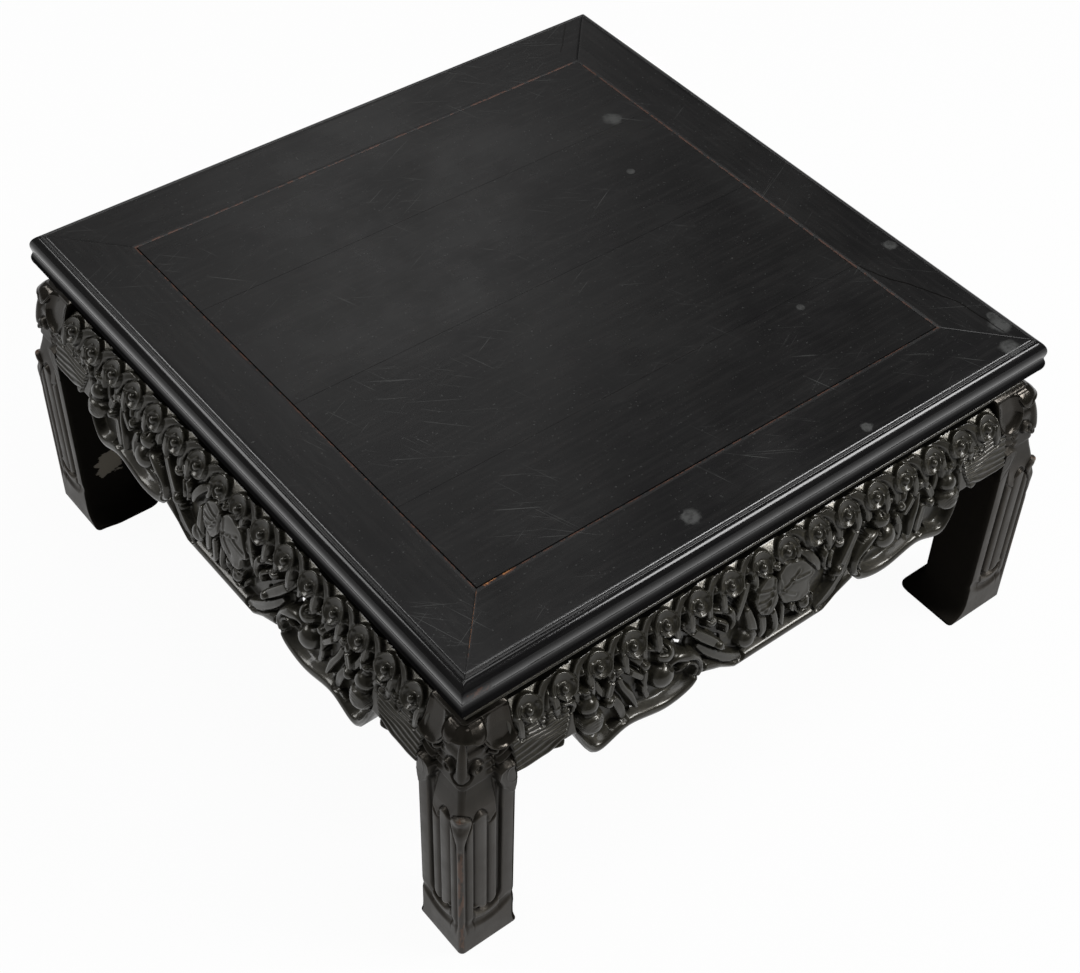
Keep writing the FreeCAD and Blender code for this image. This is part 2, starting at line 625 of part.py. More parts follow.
def lobed_outline(half):
    """Front view of the apron: straight top, lobed lower edge mirrored about its middle."""
    deep = s.apron_back_inset + s.leg_width

    def at(along, height):
        return Vec(along, -s.leg_width, height)
    flat = half * CENTRE_FLAT_SHARE
    edges = [Part.makeLine(at(-half, WAIST_FOOT), at(half, WAIST_FOOT)),
             Part.makeLine(at(-flat, s.apron_low), at(flat, s.apron_low))]
    for sign in (-1, 1):
        corner = at(sign * (half - s.end_block_length), s.end_block_foot)
        cusp = at(sign * half * CUSP_SHARE, s.cusp_height)
        lobes = [corner, at(sign * half * OUTER_SIDE_SHARE, s.outer_side),
                 at(sign * half * OUTER_LOBE_SHARE, s.outer_lobe_low),
                 at(sign * half * LOBE_VALLEY_SHARE, s.lobe_valley),
                 at(sign * half * INNER_LOBE_SHARE, s.inner_lobe_low),
                 at(sign * half * INNER_SIDE_SHARE, s.inner_side), cusp]
        edges += chain([at(sign * half, WAIST_FOOT), at(sign * half, s.end_block_foot), corner])
        edges.append(smooth(lobes))
        edges += chain([cusp, at(sign * half * CENTRE_STEP_SHARE, s.centre_step), at(sign * flat, s.apron_low)])
    return face_of(edges).extrude(Vec(0, deep, 0))


def face_inset(height):
    """How far inside the top's edge the apron's face lies at a height."""
    marks = [(s.apron_low, s.apron_low_inset), (s.apron_hem_height, s.apron_hem_inset),
             (s.apron_belly_height, s.apron_belly_inset), (s.apron_crest_height, s.apron_crest_inset)]
    for (low, low_inset), (high, high_inset) in zip(marks, marks[1:]):
        if height <= high:
            return low_inset + (high_inset - low_inset) * (height - low) / (high - low)
    return s.apron_crest_inset


def peg(along, face, height, radius, back):
    """A round peg from the apron's face inward, square to it."""
    return Part.makeCylinder(radius, back - face, Vec(along, face, height), Vec(0, 1, 0))


def scroll_row(half):
    """The row of scrolls under the shoulder, each with its eye and the crest behind it."""
    pitch = (half - s.scroll_end_gap - s.scroll_first) / (SCROLLS_PER_HALF - 1)
    forms = []
    for sign in (-1, 1):
        for index in range(SCROLLS_PER_HALF):
            along = s.scroll_first + pitch * index
            forms.append(peg(sign * along, s.scroll_face, s.scroll_height, s.scroll_radius, s.scroll_back))
            forms.append(peg(sign * along, s.eye_face, s.scroll_height, s.eye_radius, s.scroll_back))
            if index < SCROLLS_PER_HALF - 1:
                crest = sign * (along + s.crest_shift)
                forms.append(peg(crest, s.crest_face, s.crest_height, s.crest_radius, s.scroll_back))
    return forms


def on_face(half, along_share, up_share):
    """A place on the apron's face, by shares of its half length and of its height."""
    height = s.apron_low + (WAIST_FOOT - s.apron_low) * up_share
    return half * along_share, face_inset(height), height


def hanging_forms(half):
    """Gourds, leaves, fruits and curled ribbon ends, and the hollows that pierce the apron."""
    tall = WAIST_FOOT - s.apron_low
    centre_ball = Vec(0, s.centre_ball_inset, s.centre_ball_height)
    forms = [Part.makeSphere(s.centre_ball_radius, centre_ball)]
    hollows = []
    for sign in (-1, 1):
        for along_share, up_share, radius_share, sunk_share in BALL_SHARES:
            along, face, height = on_face(sign * half, along_share, up_share)
            forms.append(Part.makeSphere(tall * radius_share, Vec(along, face + tall * sunk_share, height)))
        for along_share, up_share, radius_share, hollow_share in CURL_SHARES:
            along, face, height = on_face(sign * half, along_share, up_share)
            radius = tall * radius_share
            rim = face - radius / 3
            forms.append(peg(along, rim, height, radius, face + radius / 2))
            hollows.append(peg(along, rim - radius, height, tall * hollow_share, face))
        for along_share, up_share, wide_share, high_share in PIERCE_SHARES:
            along, face, height = on_face(sign * half, along_share, up_share)
            hollows.append(pierced_slot(along, height, tall * wide_share, tall * high_share))
    return forms, hollows


def pierced_slot(along, height, half_wide, half_high):
    """A rounded slot right through the apron."""
    middle = Vec(along, -s.leg_width, height)
    across = middle + Vec(half_wide, 0, 0)
    upward = middle + Vec(0, 0, half_high)
    ends = (across, upward) if half_wide > half_high else (upward, across)
    rim = Part.Ellipse(ends[0], ends[1], middle).toShape()
    return Part.Face(Part.Wire([rim])).extrude(Vec(0, s.leg_width + s.apron_back_inset + s.overrun, 0))


def apron_tongues(half):
    """The tongues at the apron's ends, which stand in the legs' slots."""
    height = s.apron_tongue_top - s.apron_tongue_foot
    tongues = []
    for start in (-half - s.apron_tongue_length, half - s.apron_tongue_length):
        corner = Vec(start, s.apron_tongue_inset, s.apron_tongue_foot)
        tongues.append(Part.makeBox(2 * s.apron_tongue_length, s.apron_tongue_thick, height, corner))
    return tongues


def apron_key_slots():
    """Slots in the apron's back, open at the top, for its two keys."""
    slots = []
    for sign in (-1, 1):
        start = sign * s.key_spacing - s.key_width / 2 - s.fit_gap
        corner = Vec(start, KEY_INSET - s.fit_gap, s.key_foot - s.fit_gap)
        slots.append(Part.makeBox(s.key_width + 2 * s.fit_gap, s.key_thick + s.overrun, WAIST_FOOT, corner))
    return slots


def apron_solid(half):
    """An apron with its face toward -Y and the top's edge at Y zero."""
    blank = apron_bar(half).common(lobed_outline(half))
    forms, hollows = hanging_forms(half)
    deep = s.apron_back_inset + s.leg_width
    limit = Part.makeBox(2 * half, deep, WAIST_FOOT - s.apron_low, Vec(-half, -s.leg_width, s.apron_low))
    carved = blank.multiFuse(scroll_row(half) + forms).common(limit)
    return carved.cut(hollows + apron_key_slots()).multiFuse(apron_tongues(half)).removeSplitter()


def carved_piece(label, shape, place, turn):
    """A carved piece, whose shape is worked out from the sheet's sizes."""
    made = doc.addObject("Part::Feature", label)
    made.Label = label
    made.Shape = shape
    made.Placement = FreeCAD.Placement(place, FreeCAD.Rotation(UP, turn))
    return made


def make_top():
    front = -PANEL_HALF_DEPTH
    second = front + s.front_board
    third = second + s.second_board
    fourth = third + s.third_board
    seam = s.seam_gap / 2
    return [
        frame_along_x("frame_front", 0), frame_along_y("frame_left", 0),
        frame_along_x("frame_rear", 180), frame_along_y("frame_right", 180),
        panel_board(1, front, second, s.panel_gap, seam, s.edge_tongue_length, s.seam_tongue_length),
        panel_board(2, second, third, seam, seam, 0, s.seam_tongue_length),
        panel_board(3, third, fourth, seam, seam, 0, s.seam_tongue_length),
        panel_board(4, fourth, PANEL_HALF_DEPTH, seam, s.panel_gap, 0, s.edge_tongue_length),
        batten("batten_left", -1), batten("batten_middle", 0), batten("batten_right", 1),
    ]


def make_waist():
    return [
        waist_strip("waist_front", 0, HALF_WIDTH, HALF_DEPTH),
        waist_strip("waist_right", 90, HALF_DEPTH, HALF_WIDTH),
        waist_strip("waist_rear", 180, HALF_WIDTH, HALF_DEPTH),
        waist_strip("waist_left", 270, HALF_DEPTH, HALF_WIDTH),
    ]


def make_aprons():
    inside = s.leg_width - s.leg_overhang
    front = apron_solid(HALF_WIDTH - inside)
    side = apron_solid(HALF_DEPTH - inside)
    return [
        carved_piece("apron_front", front, Vec(0, -HALF_DEPTH, 0), 0),
        carved_piece("apron_right", side, Vec(HALF_WIDTH, 0, 0), 90),
        carved_piece("apron_rear", front, Vec(0, HALF_DEPTH, 0), 180),
        carved_piece("apron_left", side, Vec(-HALF_WIDTH, 0, 0), 270),
    ]


def make_legs():
    wide = HALF_WIDTH + s.leg_overhang
    deep = HALF_DEPTH + s.leg_overhang
    return [
        leg("leg_front_left", 0, -wide, -deep), leg("leg_front_right", 90, wide, -deep),
        leg("leg_rear_right", 180, wide, deep), leg("leg_rear_left", 270, -wide, deep),
    ]


def check(pieces):
    for item in doc.Objects:
        if "Invalid" in item.State or "Error" in item.State:
            raise RuntimeError("%s did not build: %s" % (item.Name, item.State))
    for piece in pieces:
        if piece.Shape.isNull() or not piece.Shape.isValid() or not piece.Shape.Solids:
            raise RuntimeError("%s has no valid solid" % piece.Label)


def write(pieces):
    os.makedirs("parts", exist_ok=True)
    for piece in pieces:
        piece.Shape.exportStep(os.path.join("parts", piece.Label + ".step"))
        print(piece.Label, len(piece.Shape.Solids), round(piece.Shape.Volume))


table = make_top() + make_waist() + make_aprons() + make_legs() + [apron_keys()]
doc.recompute()
check(table)
write(table)
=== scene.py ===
import math

import bpy
import numpy as np
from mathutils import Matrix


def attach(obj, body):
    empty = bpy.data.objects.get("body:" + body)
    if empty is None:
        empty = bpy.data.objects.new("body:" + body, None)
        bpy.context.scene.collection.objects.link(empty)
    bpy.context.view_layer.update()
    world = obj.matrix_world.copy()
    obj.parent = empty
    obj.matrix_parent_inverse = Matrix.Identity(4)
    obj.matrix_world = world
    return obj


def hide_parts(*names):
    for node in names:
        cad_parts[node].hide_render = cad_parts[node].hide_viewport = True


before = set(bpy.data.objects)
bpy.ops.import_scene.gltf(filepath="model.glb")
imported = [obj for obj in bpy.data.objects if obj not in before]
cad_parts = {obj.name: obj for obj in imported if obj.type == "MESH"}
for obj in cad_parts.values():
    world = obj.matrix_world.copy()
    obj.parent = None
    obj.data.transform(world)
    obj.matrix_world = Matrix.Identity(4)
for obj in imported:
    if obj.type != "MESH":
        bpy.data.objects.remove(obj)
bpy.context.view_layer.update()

# A low carved table in the frame of its solids. Shapes are worked out in millimetres
# and turned to metres when a mesh is made.
MM = 0.001
HALF_X = 312.0
HALF_Y = 317.0
TOP = 328.0
WAIST_FOOT = 276.0
SIDE_WIDTH = 66.0
FRONT_WIDTH = 71.0
LEG_OVERHANG = 13.5
LEG_WIDTH = 54.0
APRON_INSIDE = LEG_WIDTH - LEG_OVERHANG


# Curves and carved relief
def smoothstep(value, low, high):
    share = np.clip((value - low) / (high - low), 0.0, 1.0)
    return share * share * (3 - 2 * share)


def hump(value, middle, width, power=2):
    """A bell curve, 1 at its middle; a higher power makes it flatter on top."""
    return np.exp(-((value - middle) / width) ** power)


def dome(share):
    """Height of a round dome of radius 1 at a share of the radius."""
    return np.sqrt(np.clip(1 - share ** 2, 0, 1))


def smooth_path(points, steps=6):
    """A smooth run through rows of numbers, which it passes in order."""
    rows = np.array(points, float)
    if len(rows) < 3:
        shares = np.linspace(0, 1, steps + 1)[:, None]
        return rows[0] * (1 - shares) + rows[-1] * shares
    padded = np.vstack([2 * rows[0] - rows[1], rows, 2 * rows[-1] - rows[-2]])
    out = []
    for index in range(1, len(padded) - 2):
        before, start, end, after = padded[index - 1:index + 3]
        for step in range(steps):
            t = step / steps
            out.append(0.5 * (2 * start + (end - before) * t
                              + (2 * before - 5 * start + 4 * end - after) * t ** 2
                              + (3 * start - before - 3 * end + after) * t ** 3))
    out.append(rows[-1])
    return np.array(out)


class Relief:
    """Heights of carved work over a grid, outward from the surface that it is cut in."""

    def __init__(self, along, up, ground):
        self.along = along
        self.up = up
        self.height = ground.copy()

    def lay(self, rim, height, gap, deep):
        """Lay a form over the work where the rim distance is negative, with a trench round it."""
        cover = smoothstep(-rim, -0.55, 0.55)
        if gap:
            trench = (1 - smoothstep(rim, gap - 0.3, gap + 0.8)) * (1 - cover)
            self.height += trench * (np.minimum(self.height, deep) - self.height)
        self.height += cover * (np.maximum(self.height, height) - self.height)

    def lobe(self, outline, top, roll, bulge, reach, lip=0.0):
        """A lobe with a rolled edge, which swells or sinks over a reach inside it, and with a fine lip."""
        rim = self.inside_rim(outline)
        deep = np.clip(-rim, 0, None)
        rolled = roll * (dome(np.clip(roll - deep, 0, roll) / roll) - 1)
        body = bulge * (1 - (1 - np.clip(deep / reach, 0, 1)) ** 2)
        self.lay(rim, top + rolled + body + lip * hump(deep, 1.4, 0.9), 0, 0)

    def ball(self, along, up, radius, top, foot=-6.0, gap=0.9):
        distance = np.hypot(self.along - along, self.up - up)
        height = foot + (top - foot) * dome(distance / radius)
        self.lay(distance - radius, height, gap, top - 5.0)

    def strand(self, points, hollow=0.0, foot=-6.0, gap=0.9):
        """A band along points, each (along, up, half width, top); a hollow leaves raised rims."""
        rows = smooth_path(points)
        rim = np.full(self.along.shape, 1e9)
        share = np.full(self.along.shape, 9.0)
        top = np.zeros(self.along.shape)
        for start, end in zip(rows, rows[1:]):
            across, t = self.away_from(start, end)
            wide = start[2] + (end[2] - start[2]) * t
            here = across / np.maximum(wide, 0.05)
            nearer = here < share
            share = np.where(nearer, here, share)
            rim = np.where(nearer, across - wide, rim)
            top = np.where(nearer, start[3] + (end[3] - start[3]) * t, top)
        body = np.sqrt(np.clip(1 - np.clip(share, 0, 1) ** (4 if hollow else 2), 0, 1))
        height = foot + (top - foot) * body - hollow * np.clip(1 - (share / 0.72) ** 2, 0, 1)
        self.lay(rim, height, gap, np.min(rows[:, 3]) - 4.5)

    def away_from(self, start, end):
        """Distance of every grid place from a straight run, and its share along the run."""
        run = end[:2] - start[:2]
        length = max(float(run @ run), 1e-9)
        t = np.clip(((self.along - start[0]) * run[0] + (self.up - start[1]) * run[1]) / length, 0, 1)
        return np.hypot(self.along - start[0] - t * run[0], self.up - start[1] - t * run[1]), t

    def from_line(self, rows):
        """Distance of every grid place from a line through rows of places."""
        near = np.full(self.along.shape, 1e9)
        for start, end in zip(rows, rows[1:]):
            near = np.minimum(near, self.away_from(start, end)[0])
        return near

    def inside_rim(self, outline):
        """Distance from a smooth closed outline, negative inside it."""
        edge = np.array(outline, float)
        closed = smooth_path(np.vstack([edge, edge[:1]]), 5)
        inside = np.zeros(self.along.shape, bool)
        for start, end in zip(closed, closed[1:]):
            crosses = (start[1] > self.up) != (end[1] > self.up)
            rise = end[1] - start[1] if abs(end[1] - start[1]) > 1e-9 else 1e-9
            meets = start[0] + (self.up - start[1]) * (end[0] - start[0]) / rise
            inside ^= crosses & (self.along < meets)
        return self.from_line(closed) * np.where(inside, -1, 1)

    def leaf(self, outline, top, crown, veins):
        """A leaf inside an outline, domed by its crown, with raised veins along lines."""
        rim = self.inside_rim(outline)
        height = top - crown * np.exp(rim / 4.0) - (top + 6.0) * smoothstep(rim, -1.0, 0.6)
        height += 0.7 * hump(rim, -1.4, 0.8)
        for line in veins:
            near = self.from_line(smooth_path(line))
            height += 0.9 * hump(near, 0, 0.8) - 0.5 * hump(near, 2.2, 1.0)
        self.lay(rim, height, 0.9, top - 5.0)


# Grids and meshes
def softened(values):
    """Values on a grid, each drawn a little toward its four neighbours."""
    padded = np.pad(values, 1, mode="edge")
    sides = padded[:-2, 1:-1] + padded[2:, 1:-1] + padded[1:-1, :-2] + padded[1:-1, 2:]
    return (padded[1:-1, 1:-1] * 6 + sides) / 10


def blurred(values, times):
    for _ in range(times):
        padded = np.pad(values, 1, mode="edge")
        values = (padded[:-2, 1:-1] + padded[2:, 1:-1] + padded[1:-1, :-2] + padded[1:-1, 2:]) / 4
    return values


def add_mesh(name, places, faces, material, values):
    """A smooth mesh piece from places in millimetres, with values for its material."""
    mesh = bpy.data.meshes.new(name)
    mesh.from_pydata((np.asarray(places) * MM).tolist(), [], faces)
    mesh.validate()
    for key, numbers in values.items():
        layer = mesh.attributes.new(key, "FLOAT", "POINT")
        layer.data.foreach_set("value", np.asarray(numbers, np.float32))
    mesh.polygons.foreach_set("use_smooth", [True] * len(mesh.polygons))
    mesh.materials.append(material)
    piece = bpy.data.objects.new(name, mesh)
    bpy.context.scene.collection.objects.link(piece)
    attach(piece, "root")
    return piece


def grid_faces(rows, columns):
    """Quads of a grid of places, with its rows one after another."""
    faces = []
    for row in range(0, (rows - 1) * columns, columns):
        for a in range(row, row + columns - 1):
            faces.append((a, a + 1, a + columns + 1, a + columns))
    return faces


def turned(places, quarter):
    """Places turned about the vertical by quarter turns."""
    cosine, sine = (1, 0, -1, 0)[quarter], (0, 1, 0, -1)[quarter]
    out = np.array(places)
    out[:, 0] = cosine * places[:, 0] - sine * places[:, 1]
    out[:, 1] = sine * places[:, 0] + cosine * places[:, 1]
    return out


# Materials
def feed(tree, socket, value):
    """Give a socket a number, or link it to another node's output."""
    if isinstance(value, bpy.types.NodeSocket):
        tree.links.new(value, socket)
    else:
        socket.default_value = value


def add_node(tree, kind, inputs, **settings):
    """A new node of a kind, with its settings and with its inputs fed; gives its outputs."""
    node = tree.nodes.new("ShaderNode" + kind)
    for key, value in settings.items():
        setattr(node, key, value)
    for key, value in inputs.items():
        feed(tree, node.inputs[key], value)
    return node.outputs


class Nodes:
    """A short way to write a material's nodes."""

    def __init__(self, name, shader="BsdfPrincipled"):
        self.material = bpy.data.materials.new(name)
        self.material.use_nodes = True
        self.tree = self.material.node_tree
        self.tree.nodes.clear()
        self.shader = self.tree.nodes.new("ShaderNode" + shader)
        self.add("OutputMaterial", {"Surface": self.shader.outputs[0]})

    def add(self, kind, inputs, **settings):
        return add_node(self.tree, kind, inputs, **settings)

    def place(self, scale=(1, 1, 1), turn=0.0, shift=(0, 0, 0), kind="POINT"):
        """Place on the table, scaled, turned about the vertical and shifted."""
        place = self.add("TexCoord", {})["Object"]
        inputs = {"Vector": place, "Location": shift, "Rotation": (0, 0, turn), "Scale": scale}
        return self.add("Mapping", inputs, vector_type=kind)[0]

    def level(self):
        """Height over the floor, in metres."""
        return self.add("SeparateXYZ", {0: self.place()})["Z"]

    def noise(self, vector, scale, detail=4.0, rough=0.55):
        inputs = {"Vector": vector, "Scale": scale, "Detail": detail, "Roughness": rough}
        return self.add("TexNoise", inputs)["Fac"]

    def value_of(self, name):
        return self.add("Attribute", {}, attribute_name=name)["Fac"]

    def distance(self, vector, place):
        return self.add("VectorMath", {0: vector, 1: place}, operation="DISTANCE")["Value"]

    def ramp(self, value, low, high, start=0.0, end=1.0, soft=True):
        """A value carried from one range to another, eased at both ends if soft."""
        inputs = {"Value": value, "From Min": low, "From Max": high, "To Min": start, "To Max": end}
        return self.add("MapRange", inputs, interpolation_type="SMOOTHSTEP" if soft else "LINEAR")["Result"]

    def math(self, kind, first, second=0.0):
        return self.add("Math", {0: first, 1: second}, operation=kind)[0]

    def times(self, first, second):
        return self.math("MULTIPLY", first, second)

    def plus(self, first, second):
        return self.math("ADD", first, second)

    def less(self, first, second):
        return self.math("SUBTRACT", first, second)

    def larger(self, first, second):
        return self.math("MAXIMUM", first, second)

    def mix(self, share, first, second):
        """The first colour changed by a share into the second."""
        pair = [c if isinstance(c, bpy.types.NodeSocket) else (*c, 1.0) for c in (first, second)]
        return self.add("Mix", {"Factor": share, 6: pair[0], 7: pair[1]}, data_type="RGBA")[2]

    def bump(self, height, strength, distance):
        return self.add("Bump", {"Height": height, "Strength": strength, "Distance": distance})[0]

    def on_line(self, start, end, half_width):
        """Share that is 1 along a thin, slightly wavy mark between two places seen from above."""
        run_x, run_y = end[0] - start[0], end[1] - start[1]
        length = math.hypot(run_x, run_y)
        cosine, sine = run_x / length, run_y / length
        middle_x, middle_y = (start[0] + end[0]) / 2, (start[1] + end[1]) / 2
        shift = (-middle_x * cosine - middle_y * sine, middle_x * sine - middle_y * cosine, 0)
        split = self.add("SeparateXYZ", {0: self.place(turn=-math.atan2(run_y, run_x), shift=shift)})
        wave = self.ramp(self.noise(self.place(), 60.0, 3.0), 0.2, 0.8, -0.0014, 0.0014, False)
        across = self.math("ABSOLUTE", self.plus(split["Y"], wave))
        within = self.ramp(self.math("ABSOLUTE", split["X"]), length * 0.49, length * 0.53, 1.0, 0.0)
        return self.times(within, self.ramp(across, half_width * 0.5, half_width, 1.0, 0.0))

    def finish(self, **inputs):
        """Feed the shader's inputs, named with underscores for spaces, and give the material."""
        for key, value in inputs.items():
            feed(self.tree, self.shader.inputs[key.replace("_", " ")], value)
        return self.material


BLACK_LACQUER = (0.0060, 0.0059, 0.0062)
GREY_LACQUER = (0.0100, 0.0097, 0.0098)
HAZE = (0.0190, 0.0188, 0.0180)
CRACK_DARK = (0.0015, 0.0012, 0.0010)
WORN_ORANGE = (0.250, 0.105, 0.035)
WORN_RED = (0.060, 0.024, 0.014)
PALE_SPOT = (0.070, 0.072, 0.070)
EDGE_ROUGHNESS = 0.12
LACQUER_SHINE = 0.42
# Scratches: the ways they run, their stretch and half the width of a crack, in metres.
SCRATCH_TURNS = (0.45, -0.8, 1.9, 2.6)
SCRATCH_STRETCH = (0.09, 0.0014, 1)
CRACK_HALF_WIDTH = 0.0009
# Pale water spots on the top: place in metres and radius.
SPOTS = [
    ((0.213, 0.151), 0.010), ((0.174, 0.077), 0.0045), ((0.293, -0.277), 0.011),
    ((0.278, -0.302), 0.010), ((0.296, -0.265), 0.006), ((0.293, -0.143), 0.007),
    ((0.110, -0.298), 0.006), ((-0.071, -0.287), 0.009), ((0.169, -0.157), 0.004),
]
# Fine dark cracks on the top: one curved from place to place, and a short one, in metres.
CURVED_CRACK = [(0.245, -0.13), (0.255, -0.168), (0.27, -0.196), (0.285, -0.231), (0.289, -0.285)]
CRACKS = list(zip(CURVED_CRACK, CURVED_CRACK[1:])) + [((0.278, 0.304), (0.243, 0.268))]


def scratched(n, cloud):
    """Share of fine scratches, which run in a few ways where the cloud is thick."""
    streaks = 0.0
    for angle in SCRATCH_TURNS:
        streak = n.noise(n.place(SCRATCH_STRETCH, angle, kind="TEXTURE"), 1.0, 2.0, 0.5)
        streaks = n.larger(streaks, n.ramp(streak, 0.69, 0.76))
    return n.times(streaks, n.ramp(cloud, 0.46, 0.60))


def spotted(n, ragged):
    """Share of the pale water spots, with ragged rims."""
    spots = 0.0
    for (x, y), radius in SPOTS:
        away = n.math("DIVIDE", n.distance(n.place((1, 1, 0)), (x, y, 0)), radius)
        away = n.plus(away, n.ramp(ragged, 0.2, 0.8, -0.35, 0.35, False))
        spots = n.larger(spots, n.ramp(away, 0.65, 1.05, 1.0, 0.0))
    return n.times(spots, n.ramp(ragged, 0.35, 0.6, 0.45, 1.0))


def lacquer(name, along_x, panel=False):
    """Near-black polished hardwood, with grain along the piece, smudges and wear."""
    n = Nodes(name)
    grain = n.noise(n.place((6, 90, 90) if along_x else (90, 6, 90)), 3.0, 6.0, 0.65)
    cloud = n.noise(n.place(), 9.0, 5.0, 0.6)
    speck = n.noise(n.place(), 420.0, 2.0, 0.5)
    ragged = n.noise(n.place(), 160.0, 4.0, 0.6)
    edge = n.value_of("edge")
    flat = n.ramp(edge, 0.0, 1.0, 1.0, 0.0, False)
    scratches = n.times(scratched(n, cloud), flat)
    spots = spotted(n, ragged)
    haze = n.ramp(n.noise(n.place((1, 1, 0)), 5.5, 6.0, 0.62), 0.35, 0.85, 0.0, 0.35)
    colour = n.mix(n.ramp(grain, 0.42, 0.70), BLACK_LACQUER, GREY_LACQUER)
    colour = n.mix(n.times(n.ramp(speck, 0.68, 0.74, 0.0, 0.42), flat), colour, PALE_SPOT)
    colour = n.mix(n.times(scratches, 0.50), colour, PALE_SPOT)
    colour = n.mix(n.times(spots, 0.50), colour, PALE_SPOT)
    colour = n.mix(n.times(haze, flat), colour, HAZE)
    rough = n.times(n.ramp(cloud, 0.35, 0.70, 0.24, 0.36), flat)
    rough = n.plus(rough, n.times(edge, EDGE_ROUGHNESS))
    rough = n.plus(rough, n.times(spots, 0.3))
    if not panel:
        cracked = 0.0
        for start, end in CRACKS:
            cracked = n.larger(cracked, n.on_line(start, end, CRACK_HALF_WIDTH))
        wear = n.value_of("wear")
        broken = n.times(wear, n.ramp(ragged, 0.36, 0.56, 0.25, 1.0))
        colour = n.mix(cracked, colour, CRACK_DARK)
        colour = n.mix(n.ramp(broken, 0.25, 0.45, 0.0, 0.85), colour, WORN_RED)
        colour = n.mix(n.ramp(broken, 0.55, 0.85), colour, WORN_ORANGE)
        rough = n.plus(rough, n.ramp(wear, 0.0, 0.24, 0.0, 0.30))
    height = n.plus(n.times(grain, 0.25), n.times(cloud, 0.6))
    height = n.less(height, n.times(scratches, 0.5))
    height = n.times(height, n.ramp(edge, 0.0, 1.0, 1.0, 0.15, False))
    upper = n.times(edge, n.ramp(n.level(), 0.316, 0.320))
    shine = n.ramp(n.level(), 0.304, 0.311, 0.0, LACQUER_SHINE)
    shine = n.times(shine, n.ramp(upper, 0.0, 1.0, 1.0, 0.40, False))
    return n.finish(Base_Color=colour, Roughness=rough, Specular_IOR_Level=shine,
                    Normal=n.bump(height, 0.08, 0.001))


def carved_wood(name):
    """Dark rubbed wood: shiny on the raised work, dusty olive in the hollows, with painted shade in the
    hollows and painted highlights on the crests.
    """
    n = Nodes(name)
    relief = n.value_of("relief")
    cloud = n.noise(n.place(), 30.0, 5.0, 0.6)
    fine = n.noise(n.place(), 260.0, 5.0, 0.65)
    uneven = n.plus(relief, n.ramp(cloud, 0.3, 0.7, -0.25, 0.25, False))
    out_of_painted_shadow = n.ramp(relief, -0.9, -0.1)
    bare = n.ramp(relief, 1.2, 1.8)
    dust = n.times(n.ramp(fine, 0.45, 0.65), n.ramp(uneven, 0.2, 0.6, 1.0, 0.0))
    # Painted light and shade: the relief tone makes the colour darker in hollows and lighter on crests and on
    # the bare shoulder.
    colour = n.mix(n.ramp(uneven, 0.15, 0.60), (0.0085, 0.0078, 0.0052), (0.0140, 0.0130, 0.0100))
    colour = n.mix(n.ramp(uneven, 0.55, 1.0, 0.0, 0.85), colour, (0.024, 0.0225, 0.0170))
    colour = n.mix(n.times(dust, 0.6), colour, (0.040, 0.036, 0.024))
    # Painted shadow: near black above the shoulder, under the waist.
    colour = n.mix(out_of_painted_shadow, (0.0025, 0.0024, 0.0020), colour)
    rough = n.ramp(uneven, 0.1, 0.8, 0.55, 0.27)
    rough = n.plus(rough, n.times(bare, n.ramp(fine, 0.40, 0.60, 0.0, 0.16)))
    height = n.plus(n.times(fine, 0.6), n.times(cloud, 0.6))
    lit_share = n.times(out_of_painted_shadow, 0.30)
    return n.finish(Base_Color=colour, Roughness=rough, Normal=n.bump(height, 0.22, 0.0012),
                    Specular_IOR_Level=n.plus(lit_share, n.times(bare, 0.25)),
                    Specular_Tint=(1.0, 0.95, 0.84, 1.0), Coat_Roughness=0.14,
                    Coat_Weight=n.less(lit_share, n.times(bare, 0.30)))


# Bare broken wood on the inner face of the left rear leg, in metres.
BARE_PATCH = (-0.293, 0.277, 0.07)


